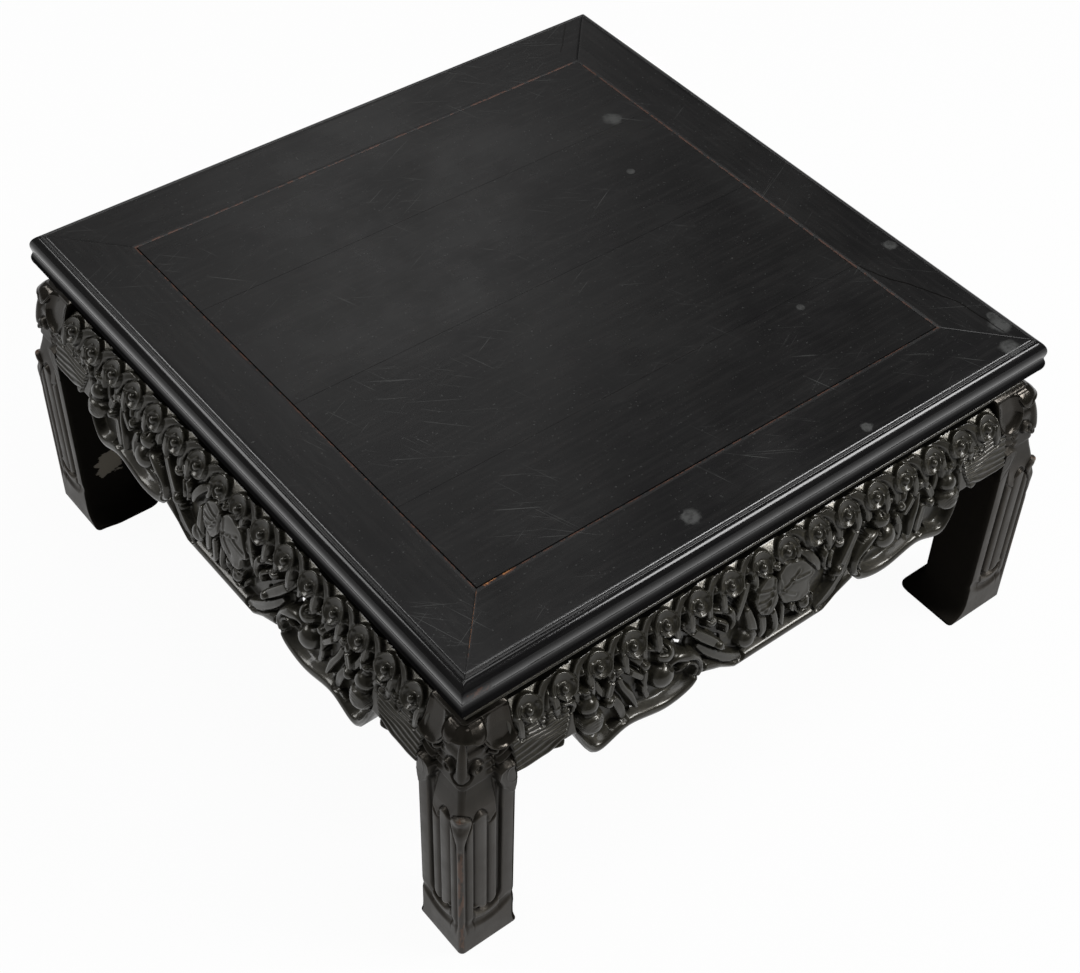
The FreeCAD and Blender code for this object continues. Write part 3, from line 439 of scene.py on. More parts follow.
def leg_wood(name):
    """Satin grey-brown wood, reddish where the corner is rubbed, with painted highlights along raised edges
    and painted shade in grooves and hollows.
    """
    n = Nodes(name)
    relief = n.value_of("relief")
    rub = n.value_of("rub")
    inner = n.ramp(rub, -0.9, -0.1, 1.0, 0.0)
    streak = n.noise(n.place((120, 120, 9)), 1.0, 5.0, 0.6)
    cloud = n.noise(n.place(), 26.0, 5.0, 0.6)
    fine = n.noise(n.place((260, 260, 60)), 1.0, 4.0, 0.6)
    ragged = n.noise(n.place((1, 1, 2.2)), 70.0, 4.0, 0.6)
    uneven = n.plus(relief, n.ramp(cloud, 0.3, 0.7, -0.2, 0.2, False))
    red = n.times(rub, n.ramp(fine, 0.42, 0.62, 0.2, 1.0))
    away = n.plus(n.distance(n.place(), BARE_PATCH), n.ramp(ragged, 0.3, 0.7, -0.007, 0.007, False))
    colour = n.mix(n.ramp(streak, 0.3, 0.7), (0.0150, 0.0130, 0.0108), (0.0240, 0.0212, 0.0180))
    # Painted highlight: lighter on raised edges and crests.
    colour = n.mix(n.ramp(uneven, 0.58, 0.95, 0.0, 0.8), colour, (0.060, 0.054, 0.045))
    # Painted shade: darker in grooves and hollows.
    colour = n.mix(n.ramp(uneven, 0.05, 0.38, 1.0, 0.0), colour, (0.0045, 0.0040, 0.0032))
    colour = n.mix(inner, colour, (0.0125, 0.0112, 0.0094))
    colour = n.mix(n.ramp(red, 0.15, 0.8, 0.0, 0.85), colour, (0.105, 0.052, 0.032))
    colour = n.mix(n.ramp(n.level(), 0.184, 0.200, 0.0, 0.75), colour, (0.0064, 0.0059, 0.0046))
    colour = n.mix(n.ramp(away, 0.014, 0.016, 0.95, 0.0), colour, (0.270, 0.245, 0.205))
    rough = n.less(n.ramp(cloud, 0.3, 0.7, 0.38, 0.50), n.ramp(n.level(), 0.236, 0.246, 0.0, 0.24))
    height = n.plus(n.times(fine, 0.5), n.times(cloud, 0.6))
    return n.finish(Base_Color=colour, Roughness=rough, Normal=n.bump(height, 0.20, 0.0010),
                    Specular_IOR_Level=n.ramp(inner, 0.0, 1.0, 0.24, 0.0, False),
                    Specular_Tint=(1.0, 0.90, 0.78, 1.0))


def plain_wood(name):
    """Unpolished brown wood, as on the parts under the top."""
    n = Nodes(name)
    dark = (0.050, 0.034, 0.022)
    grain = n.noise(n.place((60, 4, 60)), 2.0, 6.0, 0.65)
    cloud = n.noise(n.place(), 14.0, 4.0, 0.6)
    colour = n.mix(n.ramp(grain, 0.3, 0.7), dark, (0.105, 0.072, 0.046))
    colour = n.mix(n.ramp(cloud, 0.45, 0.75, 0.0, 0.4), colour, dark)
    return n.finish(Base_Color=colour, Roughness=n.ramp(grain, 0.3, 0.7, 0.55, 0.75),
                    Specular_IOR_Level=0.3, Normal=n.bump(grain, 0.25, 0.0008))


LACQUER_X = lacquer("lacquered_wood_along_x", True)
LACQUER_Y = lacquer("lacquered_wood_along_y", False)
PANEL = lacquer("lacquered_panel", True, panel=True)
CARVED = carved_wood("carved_wood")
LEG = leg_wood("leg_wood")
HIDDEN = plain_wood("hidden_wood")


# The top's frame, its boards and the waist under it
def arc(start, end, radius, steps):
    """Places on an arc between two places, bulging to the right of the way."""
    start = np.array(start, float)
    end = np.array(end, float)
    chord = end - start
    length = np.hypot(*chord)
    left = np.array([-chord[1], chord[0]]) / length
    centre = (start + end) / 2 + left * math.sqrt(radius ** 2 - (length / 2) ** 2)
    first = math.atan2(*(start - centre)[::-1])
    last = math.atan2(*(end - centre)[::-1])
    if last < first:
        last += 2 * math.pi
    turns = np.linspace(first, last, steps + 1)
    return [(centre[0] + radius * math.cos(t), centre[1] + radius * math.sin(t)) for t in turns]


# The bead along the top's edge lies between these insets.
BEAD_START = 11.0
BEAD_END = 7.0
BEAD_MIDDLE = (BEAD_START + BEAD_END) / 2
MITRE_SQUARE = 17.0
UNDERSIDE = 38.0
END_STEPS = [0.12, 0.4, 0.9, 1.8, 3] + list(range(5, 36, 2)) + [40, 50, 65, 85, 110, 140, 170]


def edge_line():
    """The moulded edge from the flat top outward and down: inset, drop and share of bead."""
    rows = [(BEAD_START + 1.0, 0.0, 0), (BEAD_START, 0.15, 0), (BEAD_START - 0.5, 0.75, 0)]
    for turn in np.linspace(0, math.pi, 7):
        rows.append((BEAD_MIDDLE + 1.25 * math.cos(turn), 0.95 - 0.95 * math.sin(turn), math.sin(turn)))
    rows.append((BEAD_END + 0.3, 1.5, 0))
    rows += [(inset, -height, 0) for inset, height in arc((BEAD_END, -1.5), (0.0, -16.0), 12.5, 12)]
    rows += [(0.5, 18.2, 0), (0.75, 19.2, 0), (0.45, 20.4, 0)]
    rows += [(inset, -height, 0) for inset, height in arc((0.15, -21.2), (4.2, -36.8), 12.5, 10)]
    return rows + [(5.2, 37.7, 0), (7.0, UNDERSIDE, 0)]


def mitre_offset(inset, own_width, other_width):
    """How far short of the end a place at an inset stops: square at first, then to the panel."""
    slope = (other_width - MITRE_SQUARE) / (own_width - MITRE_SQUARE)
    return np.where(inset < MITRE_SQUARE, inset, MITRE_SQUARE + (inset - MITRE_SQUARE) * slope)


def member_wear(profile, width, side, step, worn):
    """Wear along one cross section: at a worn member's corners, on the inner edge and the bead."""
    inset, drop, bead = profile
    at_panel = (inset > width - 1.0) * (drop < 1)
    rub = 0.44 * at_panel
    if worn and side < 0:
        rub = np.maximum(rub, math.exp(-step / 0.7) * smoothstep(inset, 6, 30) * (drop < 2))
        patch = smoothstep(step, 1, 5) * (1 - smoothstep(step, 22, 30))
        patch = 0.42 * patch * smoothstep(drop, 6, 10) * (1 - smoothstep(drop, 15, 19))
        rub = np.maximum(np.maximum(rub, patch), (1 - smoothstep(step, 18, 60)) * at_panel)
    if worn and side > 0:
        rub = np.maximum(rub, 0.9 * math.exp(-step / 4.0) * (inset > width - 2.5) * (drop < 1))
    return np.maximum(rub, 0.24 * (bead > 0.3))


def member(side_name, quarter, worn=False):
    """A frame member with moulded edge and mitred ends, laid along X and then turned."""
    along_x = quarter % 2 == 0
    half_long, half_across = (HALF_X, HALF_Y) if along_x else (HALF_Y, HALF_X)
    width, other_width = (FRONT_WIDTH, SIDE_WIDTH) if along_x else (SIDE_WIDTH, FRONT_WIDTH)
    # The cross section runs from the inner edge over the flat top and round to the underside.
    profile = [(width, 37.0, 0), (width, 0.7, 0), (width - 0.25, 0.25, 0), (width - 0.8, 0.0, 0)]
    profile += [(inset, 0.0, 0) for inset in np.linspace(width - 4, BEAD_START + 4, 18)]
    profile = np.array(profile + edge_line() + [(width - 1.0, UNDERSIDE, 0)]).T
    inset, drop, bead = profile
    reach = half_long - mitre_offset(inset, width, other_width)
    # Cross sections stand close together at the mitred ends, where the edge is sunk a little.
    stations = [(-1, step) for step in END_STEPS] + [(0, share) for share in (-0.3, -0.1, 0.1, 0.3)]
    stations += [(1, step) for step in END_STEPS[::-1]]
    places = []
    wear = []
    for side, step in stations:
        x = side * (reach - step) if side else (reach - END_STEPS[-1]) * step
        sunk = 0.45 * math.exp(-step / 0.5) if side else 0.0
        missing = 1 - smoothstep(step, 20.0, 25.0) if worn and side < 0 else 0.0
        z = TOP - drop - sunk - bead * 0.75 * missing
        places.append(np.stack([x, inset - half_across, z], axis=1))
        wear.append(member_wear(profile, width, side, step, worn))
    count, columns = len(places), len(inset)
    faces = grid_faces(count, columns)
    for a in range(0, (count - 1) * columns, columns):
        faces.append((a + columns - 1, a, a + columns, a + 2 * columns - 1))
    faces.append(tuple(range(columns)))
    faces.append(tuple(range(count * columns - 1, (count - 1) * columns - 1, -1)))
    values = {"wear": np.concatenate(wear), "edge": np.tile(smoothstep(drop, 0.2, 1.2), count)}
    places = turned(np.concatenate(places), quarter)
    piece = add_mesh("dressed_frame_" + side_name, places, faces, LACQUER_X if along_x else LACQUER_Y,
                     values)
    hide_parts("frame_" + side_name)


member("front", 0, worn=True)
member("rear", 2)
member("right", 1)
member("left", 3)


def paint(node_name, material):
    """Give a CAD piece that is shown as it is a material."""
    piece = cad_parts[node_name]
    piece.data.materials.clear()
    piece.data.materials.append(material)
    return piece


for index in range(1, 5):
    bevel = paint("panel_board_%d" % index, PANEL).modifiers.new("eased_edges", "BEVEL")
    bevel.width = 0.0007
    bevel.segments = 2
    bevel.limit_method = "ANGLE"
for name in ("batten_left", "batten_middle", "batten_right", "apron_keys"):
    paint(name, HIDDEN)
for name in ("waist_front", "waist_rear", "waist_left", "waist_right"):
    paint(name, CARVED)


# Aprons
APRON_LOW = 173.5
# Half the length that the carving is laid out on, before it is fitted to an apron.
LAID_HALF = 271.5
GRID_COLUMNS = 329
GRID_ROWS = 117
CREST_ROW = 258.5
FIRST_SCROLL = 13.5
SCROLLS = 8
SCROLL_PITCH = (LAID_HALF - 20.0 - FIRST_SCROLL) / (SCROLLS - 1)
SHOULDER_FOOT = 261.0
SHOULDER_TILT = 0.36
SHOULDER_TOP = 271.6
FACE_MARKS = [(276.0, 11.0), (258.0, -1.0), (222.0, -12.0), (190.0, -17.0), (173.5, -18.0)]
FACE_CURVE = np.polyfit([(z - 225) / 50 for z, _ in FACE_MARKS], [inset for _, inset in FACE_MARKS], 4)
FACE_SLOPE = np.polyder(FACE_CURVE) / 50
# Lobed lower edge: share of half the length, and height. The lobes run between two of its marks.
EDGE_MARKS = [
    (0.0, 173.5), (0.184, 173.5), (0.236, 183.0), (0.318, 192.0), (0.364, 180.5), (0.461, 176.0),
    (0.597, 183.5), (0.706, 175.5), (0.752, 187.0), (0.790, 212.0), (1.0, 212.0),
]
FIRST_LOBE = 3
LAST_LOBE = 9


def lower_edge(share):
    """Height of the lobed lower edge at a share of half the length."""
    marks = np.array(EDGE_MARKS)
    curve = smooth_path(marks[FIRST_LOBE:LAST_LOBE + 1], 8)
    lobed = (share > marks[FIRST_LOBE, 0]) & (share < marks[LAST_LOBE, 0])
    return np.where(lobed, np.interp(share, *curve.T), np.interp(share, *marks.T))


def shifted(points, along, up):
    """Points of a strand moved along and up."""
    return [(point[0] + along, point[1] + up, *point[2:]) for point in points]


def scroll_row(work):
    """The row of scrolls under the shoulder: an eye in a cupped disc with a crisp rim and a tail."""
    crest = [(-24, -16, 2.6, -0.4), (-23.6, -6, 3.6, 0.4), (-20.6, 4, 4.2, 0.8), (-15, 9.4, 3.6, 0.6),
             (-7, 12, 2, 0), (0.5, 13, 0.8, -1)]
    rim = [(-26.3, -15, 0.95, 0.5), (-26.6, -6, 0.95, 1.5), (-23.8, 5, 0.95, 2.2),
           (-17.6, 11.4, 0.95, 1.6), (-8.5, 13.6, 0.95, 0.4), (-1, 13.8, 0.95, -0.8)]
    tail = [(-9.6, -17.5, 2.2, 1.2), (-10.2, -11, 3.2, 2.6), (-9.6, -3, 3.6, 3)]
    lip = [(-11.8, -17, 0.7, 1.4), (-12.6, -11, 0.9, 3), (-12.4, -3, 1, 3.6), (-11.6, 3, 1, 3.4)]
    coil = []
    for share in np.linspace(0, 1, 12):
        angle = math.radians(20 - 250 * share)
        radius = 9.0 - 2.6 * share
        coil.append((radius * math.cos(angle), radius * math.sin(angle), 0.9, 3.0 - share))
    middles = [-(FIRST_SCROLL + SCROLL_PITCH * index) for index in range(SCROLLS)]
    for middle in middles[:-1]:
        work.strand(shifted(crest, middle, CREST_ROW), hollow=0.3, foot=-2.8, gap=0.4)
        work.strand(shifted(rim, middle, CREST_ROW), foot=-2.8, gap=0)
    for middle in middles:
        x, z = work.along - middle, work.up - CREST_ROW
        work.strand(shifted(tail, middle, CREST_ROW), hollow=0.3, foot=-3.0, gap=0.6)
        away = np.hypot(x, z)
        turn = -np.arctan2(z, x)
        outer = 12.4 - (3.2 * smoothstep(turn, 0.0, 1.6) + 1.6 * smoothstep(turn, 1.6, 2.6)) * (turn > 0)
        cup = 0.4 + 2.4 * smoothstep(away / outer, 0.42, 0.94) - 0.16 * np.clip(z, 0, None)
        cup += 1.1 * hump(outer - away, 0.9, 0.7)
        work.lay(away - outer, cup, 0.5, -3.0)
        work.strand(shifted(lip, middle, CREST_ROW), foot=-1.0, gap=0)
        work.strand(shifted(coil, middle, CREST_ROW), foot=-0.6, gap=0)
        work.ball(middle, CREST_ROW, 4.2, 4.8, foot=-0.8, gap=0.5)


def end_block(work):
    """Wavy ridges beside the leg, which run out in curled tips."""
    start = -LAID_HALF
    share = (work.along - start) / 57.0
    low = 212.0 + 7.0 * smoothstep(share, 0.5, 1.1)
    high = 246.5 + 2.0 * share
    row = 7.0 * (work.up - low) / (high - low)
    row = row + 0.28 * np.sin(share * 5.0 + row * 0.8) + 0.07 * np.sin(share * 13.0 + row * 1.5)
    ridge = np.abs(np.cos(np.pi * (row - 0.5)))
    reach = 54.5 - 0.16 * np.clip(7.0 - row, 0, 9) ** 2
    rim = np.maximum(work.along - start - reach, work.up - high)
    height = 2.4 * ridge ** 0.8 - 1.2 + 1.2 * smoothstep(share, 0.4, 1.0)
    work.lay(rim, height, 0.6, -4.0)
    tip = [(30, 246, 1.6, 1.8), (44, 248, 2.4, 3), (54, 247.4, 3, 3.6), (59, 242.8, 2.8, 3.2),
           (57, 238, 2, 2.2)]
    work.strand(shifted(tip, start, 0), foot=-2.0, gap=0.5)


def vase(work):
    """A small vase with a flared lip, a neck, a ball and a ringed lower body."""
    marks = [(249, 8.5), (246.5, 7.5), (243, 4.6), (240, 4.4), (237, 7.6), (232, 9.6), (227, 7.6),
             (225, 7.0), (222, 11.2), (216, 12.8), (210, 10.4), (206, 5.0), (204, 0.5)]
    curve = smooth_path(marks, 5)
    wide = np.interp(-work.up, -curve[:, 0], curve[:, 1], left=0, right=0)
    x = work.along + 199.0
    away = np.abs(x)
    rim = np.maximum(away - wide, np.maximum(work.up - 249, 204 - work.up))
    rings = 0.7 * np.cos((work.up - 220 + 0.06 * x ** 2) * 2.2) * (work.up > 214) * (work.up < 226)
    body = (np.minimum(wide, 11) * 0.75 + 1.6) * dome(away / np.maximum(wide, 0.1)) - 5
    work.lay(rim, body + 2.4 + rings, 1.0, -5.0)


def hanging_work(work):
    """Straps, buds, gourds, stalks and curled ribbons that hang below the scrolls."""
    work.strand([(-215, 244, 5, 0.4), (-206, 240, 3.5, 0), (-202, 232, 2, -2)])
    work.strand([(-190, 249, 3, -1.5), (-186, 238, 3.6, -1), (-179, 226, 3.2, -1.2),
                 (-176, 216, 2.2, -2)], hollow=0.6)
    work.ball(-178.5, 221.5, 6.2, 2.2)
    work.strand([(-179, 231, 4.2, 1.8), (-175, 240, 4, 2.4), (-168.5, 246, 3.6, 2.8),
                 (-161, 244, 3.4, 2.8), (-153, 235, 3.3, 2.6), (-147, 228.5, 3.1, 2)], hollow=1.5)
    work.strand([(-152, 252, 4.8, -1), (-147, 245, 5.2, 1.2), (-142.5, 238.5, 5, 2.4)])
    work.ball(-142, 237.5, 4.4, 3.6, foot=0.5)
    work.strand([(-166, 236, 3.2, -1.8), (-163, 226, 3.6, -0.6), (-158, 216, 4.2, 0.2), (-155, 207, 3.4, 0.6),
                 (-153.5, 201, 2.4, 0.4)])
    work.strand([(-172, 218, 4.2, -2.2), (-168, 208, 4.8, -1.6), (-166, 198, 4, -2)], hollow=0.7)
    work.ball(-120, 235.5, 9.8, 4.4)
    work.ball(-124.5, 214.5, 12.2, 5.2)
    work.strand([(-134, 247, 3, -1), (-127, 243, 3.4, -0.6), (-122, 241, 2.4, 0.2)])
    work.strand([(-140, 226, 3.2, -1.8), (-143, 214, 3.6, -1.2), (-141, 203, 3, -1.6)], hollow=0.6)
    work.strand([(-116, 222, 3, 0.2), (-109, 224, 5.2, 2.2), (-99, 219, 6.4, 3.2), (-90.5, 210, 6, 3),
                 (-87, 201, 4, 2), (-89, 195, 2.6, 0.6)])
    work.ball(-99.5, 205.5, 8.2, -6, foot=-9, gap=0.1)
    work.strand([(-108, 213, 1.8, 2.4), (-101, 214.5, 1.8, 3.2), (-94, 210, 1.8, 3.2), (-91, 203, 1.7, 2.4),
                 (-94, 196.5, 1.6, 1.2)])
    work.strand([(-97, 247, 3.2, -1.6), (-90, 238, 4.6, 0.4), (-81, 228, 5, 1.6), (-72, 218, 5, 2.4),
                 (-65, 210, 4, 2.6), (-62, 204, 2.4, 1.4)], hollow=0.9)
    work.ball(-67, 211.5, 5, 4.2, foot=0)
    work.strand([(-86, 221, 2.8, -2.4), (-78, 211, 4.2, -0.8), (-66, 199, 4.8, 0.2), (-53, 189, 4.4, 0.2),
                 (-44, 184, 3, -0.4)], hollow=0.8)
    work.ball(-71, 238, 6.4, 1.6)
    work.strand([(-68, 246, 3.2, -1.2), (-60, 243, 4.4, 1.4), (-52, 237, 4.8, 2.6), (-49.5, 228, 3.6, 2.2),
                 (-53, 221, 2.2, 0.8)])
    work.strand([(-63, 233, 2.6, -1), (-57.5, 228, 3, 1.4), (-58, 221, 2.6, 0.6)])


def centre_leaf(work):
    """Two veined leaves at the middle with long petals and fruit under them."""
    petals = [(-31, 195, 2, 5.4, 2.4), (-19, 192, 1.5, 4.6, 1.4), (-8, 188, 5, 3.6, 2.8),
              (3, 189, -1.5, 2.8, 1.8), (15, 198, -2, 4.4, 2.6), (27, 197, 0, 7.4, 3.2)]
    for middle, low, lean, wide, top in petals:
        work.strand([(middle - lean, 226, wide * 0.7, top - 2), (middle, 212, wide, top),
                     (middle + lean * 0.5, low + 6, wide * 0.9, top),
                     (middle - lean, low, wide * 0.6, top - 1.2)], hollow=0.6)
    work.ball(-35.5, 197.5, 9.6, 3.6)
    work.ball(27, 201, 7, 4.4)
    work.strand([(17, 204, 1.2, 1.6), (20, 194.5, 1.3, 2), (28, 190.5, 1.3, 2.2), (36, 195, 1.2, 1.8),
                 (38, 204, 1, 1)])
    left = [(-20, 246), (-10, 250), (-2, 244), (-0.5, 232), (-4, 220), (-13, 212.5), (-23, 218), (-27, 230),
            (-25, 240)]
    work.leaf(left, 3.2, 1.6, [[(-3, 246), (-8, 232), (-17, 217)], [(-7, 236), (-16, 238), (-22, 240)],
                               [(-8, 231), (-16, 229), (-24, 230)], [(-11, 225), (-17, 222), (-22, 222)]])
    right = [(0, 246), (8, 251), (20, 249), (30, 245), (38, 238), (40, 228), (33, 222), (32, 212), (22, 207),
             (12, 211), (4, 214), (-1, 224), (-2, 236)]
    work.leaf(right, 2.6, 1.2, [[(3, 228), (12, 232), (22, 238)], [(3, 228), (9, 222), (16, 217)],
                                [(14, 233), (24, 231), (33, 230)], [(0, 243), (2, 236), (3, 228)]])
    for side in (-1, 1):
        work.strand([(side * 30, 250, 3.4, -0.6), (side * 37, 243, 4.4, 1.2), (side * 43, 234, 4.2, 1.6),
                     (side * 45, 226, 2.6, 0.8)], hollow=0.7)
    work.ball(0, 252, 4.4, 4.6)


# Pierced places, as shares along half the apron and up its height, with half sizes in millimetres.
PIERCED = [
    (0.780, 0.73, 4.0, 6.0), (0.672, 0.76, 4.2, 7.0), (0.525, 0.74, 5.4, 10.0), (0.403, 0.70, 4.6, 10.0),
    (0.365, 0.58, 5.6, 9.0), (0.290, 0.74, 4.4, 6.4), (0.175, 0.72, 5.4, 9.5), (0.170, 0.56, 4.2, 7.0),
    (0.665, 0.53, 4.2, 8.0), (0.600, 0.66, 4.4, 5.5), (0.525, 0.40, 4.6, 9.0), (0.385, 0.35, 3.8, 5.6),
    (0.235, 0.36, 5.0, 6.0), (0.640, 0.18, 5.0, 3.6),
]


def mirrored(grid, sign=1):
    """A grid of half an apron and its mirror image beside it."""
    return np.hstack([grid, sign * grid[:, -2::-1]])


def opening_field(work):
    """Distance outside the nearest pierced place, negative inside it."""
    field = np.full(work.along.shape, 9.0)
    for along_share, up_share, wide, high in PIERCED:
        along = work.along + LAID_HALF * along_share
        up = work.up - (APRON_LOW + (WAIST_FOOT - APRON_LOW) * up_share)
        field = np.minimum(field, (np.hypot(along / wide, up / high) - 1) * min(wide, high))
    return field


def apron_relief(half):
    """Carving of a whole apron, mirrored about its middle but for the centre, and its openings."""
    along = np.linspace(-half, 0, GRID_COLUMNS)
    foot = lower_edge(np.abs(along) / half)
    climb = np.linspace(0, 1, GRID_ROWS) ** 0.96
    grid_along = np.repeat(along[None, :], GRID_ROWS, axis=0)
    grid_up = foot[None, :] + climb[:, None] * (WAIST_FOOT - foot[None, :])
    above = grid_up - foot[None, :]
    # Sunk ground between the motifs, the lower rim with its bead, the sloping shoulder and its groove.
    ground = -9.0 * smoothstep(above, 9.0, 15.0) * (1 - smoothstep(grid_up, 255.0, 260.0))
    ground *= smoothstep(grid_along, -215, -208)
    ground -= 2.6 * (1 - smoothstep(above, 0.0, 3.2))
    ground += 1.3 * hump(above, 6.0, 2.6) * (grid_along > -213)
    ground -= SHOULDER_TILT * np.clip(grid_up - SHOULDER_FOOT, 0, None)
    ground -= 2.0 * smoothstep(grid_up, 272.3, 273.6)
    scale = half / LAID_HALF
    work = Relief(grid_along / scale, grid_up, ground)
    for carve in (hanging_work, vase, end_block, scroll_row):
        carve(work)
    whole = Relief(mirrored(work.along, -1), mirrored(work.up), mirrored(work.height))
    centre_leaf(whole)
    low_top = 0.5 - SHOULDER_TILT * (whole.up - SHOULDER_FOOT)
    whole.height = np.where(whole.up > 272.0, np.minimum(whole.height, low_top), whole.height)
    field = np.maximum(mirrored(opening_field(work)), (whole.height + 4.5) * 0.8)
    whole.height = softened(whole.height)
    return whole, field, scale


def snap_to_edge(along, up, field):
    """Move grid places beside an opening on to its edge, where the field is zero."""
    slope_up, slope_along = np.gradient(field)
    per_along = slope_along / np.gradient(along, axis=1)
    per_up = slope_up / np.gradient(up, axis=0)
    steep = per_along ** 2 + per_up ** 2 + 1e-4
    move_along = -field * per_along / steep
    move_up = -field * per_up / steep
    size = np.hypot(move_along, move_up)
    limit = np.minimum(1.0, 1.1 / np.maximum(size, 1e-6)) * ((field > -0.6) & (field < 1.8))
    return along + move_along * limit, up + move_up * limit


def corners_of(cell):
    """Which grid places the kept cells of a grid touch, and which lie on their rim."""
    padded = np.pad(cell, 1).astype(int)
    touching = padded[:-1, :-1] + padded[1:, :-1] + padded[:-1, 1:] + padded[1:, 1:]
    return touching > 0, (touching > 0) & (touching < 4)


def quad(grid, row, column):
    return (grid[row, column], grid[row, column + 1], grid[row + 1, column + 1], grid[row + 1, column])


# Sides of a grid cell: the corners where each starts and ends, and the step to the cell beyond.
CELL_SIDES = np.array([
    [(0, 0), (0, 1), (-1, 0)], [(1, 1), (1, 0), (1, 0)],
    [(1, 0), (0, 0), (0, -1)], [(0, 1), (1, 1), (0, 1)],
])


def board_faces(cell, used, held):
    """Faces of a board whose front grid is twice as fine as its back's, closed round each rim."""
    front = np.full(used.shape, -1)
    front[used] = np.arange(used.sum())
    back = np.full(held.shape, -1)
    back[held] = np.arange(held.sum()) + used.sum()
    solid = np.pad(cell, 1)
    faces = []
    for place in np.argwhere(cell):
        for row, column in ((0, 0), (0, 1), (1, 0), (1, 1)):
            faces.append(quad(front, 2 * place[0] + row, 2 * place[1] + column))
        faces.append(quad(back, *place)[::-1])
        for start, end, beyond in place + CELL_SIDES:
            if not solid[tuple(beyond + 1)]:
                rim = [front[tuple(2 * end)], front[tuple(start + end)], front[tuple(2 * start)]]
                faces.append(rim + [back[tuple(start)], back[tuple(end)]])
    return [tuple(int(corner) for corner in face) for face in faces]


def relief_painted_shade(work):
    """Painted light and shade of the carving: 0 to 1 from hollow to crest, 2 on bare ground and -1, painted
    shadow, above the shoulder.
    """
    raised = work.height - blurred(work.height, 9)
    relief = np.clip(0.42 + raised / 3.6 + work.height / 60.0, 0, 1)
    bare = np.abs(work.height + SHOULDER_TILT * (work.up - SHOULDER_FOOT)) < 0.5
    relief = np.where(bare & (work.up > SHOULDER_FOOT + 0.5), 2.0, relief)
    return np.where(work.up > SHOULDER_TOP, -1.0, relief)


def back_of_board(along, up, half, face, front_y):
    """Inset of the board's back: thin behind the carving, and full at its ends and its keys."""
    full = np.interp(up, [173.5, 196, 238, 276], [2, 5, 24, 24])
    thin = face + 15.0 + 9.0 * smoothstep(up, 258, 268)
    at_key = hump(np.abs(along), 150, 10, 4) * (up > 205)
    share = np.maximum(smoothstep(np.abs(along), half - 30, half - 16), at_key)
    return np.maximum(np.minimum(thin * (1 - share) + full * share, full), front_y + 3.0)


def apron(side_name, quarter):
    """A bulging, pierced and carved board between two legs, finer in front than at the back."""
    half, edge_at = (HALF_X, -HALF_Y) if quarter % 2 == 0 else (HALF_Y, -HALF_X)
    half -= APRON_INSIDE
    work, field, scale = apron_relief(half)
    # Cells inside an opening are left out, and the grid places on their rim move on to its edge.
    for edge in (field[:4], field[-4:], field[:, :4], field[:, -4:]):
        edge[:] = 5.0
    kept = field[::2, ::2] > 0
    cell = kept[:-1, :-1] & kept[1:, :-1] & kept[:-1, 1:] & kept[1:, 1:]
    used, rim = corners_of(cell.repeat(2, axis=0).repeat(2, axis=1))
    held = corners_of(cell)[0]
    rim[0], rim[-1], rim[:, 0], rim[:, -1] = False, False, False, False
    along, up = snap_to_edge(work.along * scale, work.up, field)
    along = np.where(rim, along, work.along * scale)
    up = np.where(rim, up, work.up)
    # The relief stands square to the bulging face, and the top stays under the waist.
    face = np.polyval(FACE_CURVE, (up - 225) / 50)
    slope = np.polyval(FACE_SLOPE, (up - 225) / 50)
    lean = np.sqrt(1 + slope ** 2)
    front_y = face - work.height / lean
    front_z = up + work.height * slope / lean * np.clip((WAIST_FOOT - up) / 4, 0, 1)
    front_z = np.minimum(front_z, WAIST_FOOT - 0.05)
    back_y = back_of_board(along, up, half, face, front_y)
    back_z = up - 3.0 * np.sin(np.pi * np.clip((up - work.up[0]) / (WAIST_FOOT - work.up[0]), 0, 1))
    front = np.stack([along, front_y + edge_at, front_z], axis=2)[used]
    back = np.stack([along, back_y + edge_at, back_z], axis=2)[::2, ::2][held]
    places = turned(np.vstack([front, back]), quarter)
    values = np.concatenate([relief_painted_shade(work)[used], np.full(held.sum(), 0.30)])
    piece = add_mesh("carved_apron_" + side_name, places, board_faces(cell, used, held), CARVED,
                     {"relief": values})
    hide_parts("apron_" + side_name)


for quarter, side_name in enumerate(("front", "right", "rear", "left")):
    apron(side_name, quarter)


# Legs: places on an outer face count inward from the corner, and up from the floor.
REED_VALLEYS = (6.5, 14.5, 28.0)
GROOVE_AT = 39.0
GROOVE_DEPTH = 5.2
GROOVE_HALF_WIDTH = 2.5
HOOK_CENTRE = (27.0, 62.0)
HOOK_TURN = math.radians(152)
CURL_PLACE = (11.2, 235.2)
CORNER_ROUND = 4.5
LEG_SECTION = LEG_WIDTH + 1.0
TOE_REACH = 18.0
TOE_TOP = 22.0
# How far each toe spreads along its outer faces, from the near left leg round: the near one is worn.
EDGE_TOES = {"front_left": 3.5, "front_right": 18.0, "rear_right": 15.0, "rear_left": 15.0}
LEG_LEVELS = np.concatenate([
    [0.0, 0.5, 1.2, 2.2, 3.4], np.arange(4.5, 86, 1.0), np.arange(86, 166, 4.0),
    np.arange(166, 276, 0.65), [276.0],
])
# The square post above a leg, behind the waist.
POST_SIDES = (33.7, 54.0)
POST_LEVELS = (275.5, 290.0)
POST_FACES = [(0, 3, 2, 1), (4, 5, 6, 7), (0, 1, 5, 4), (1, 2, 6, 5), (2, 3, 7, 6), (3, 0, 4, 7)]


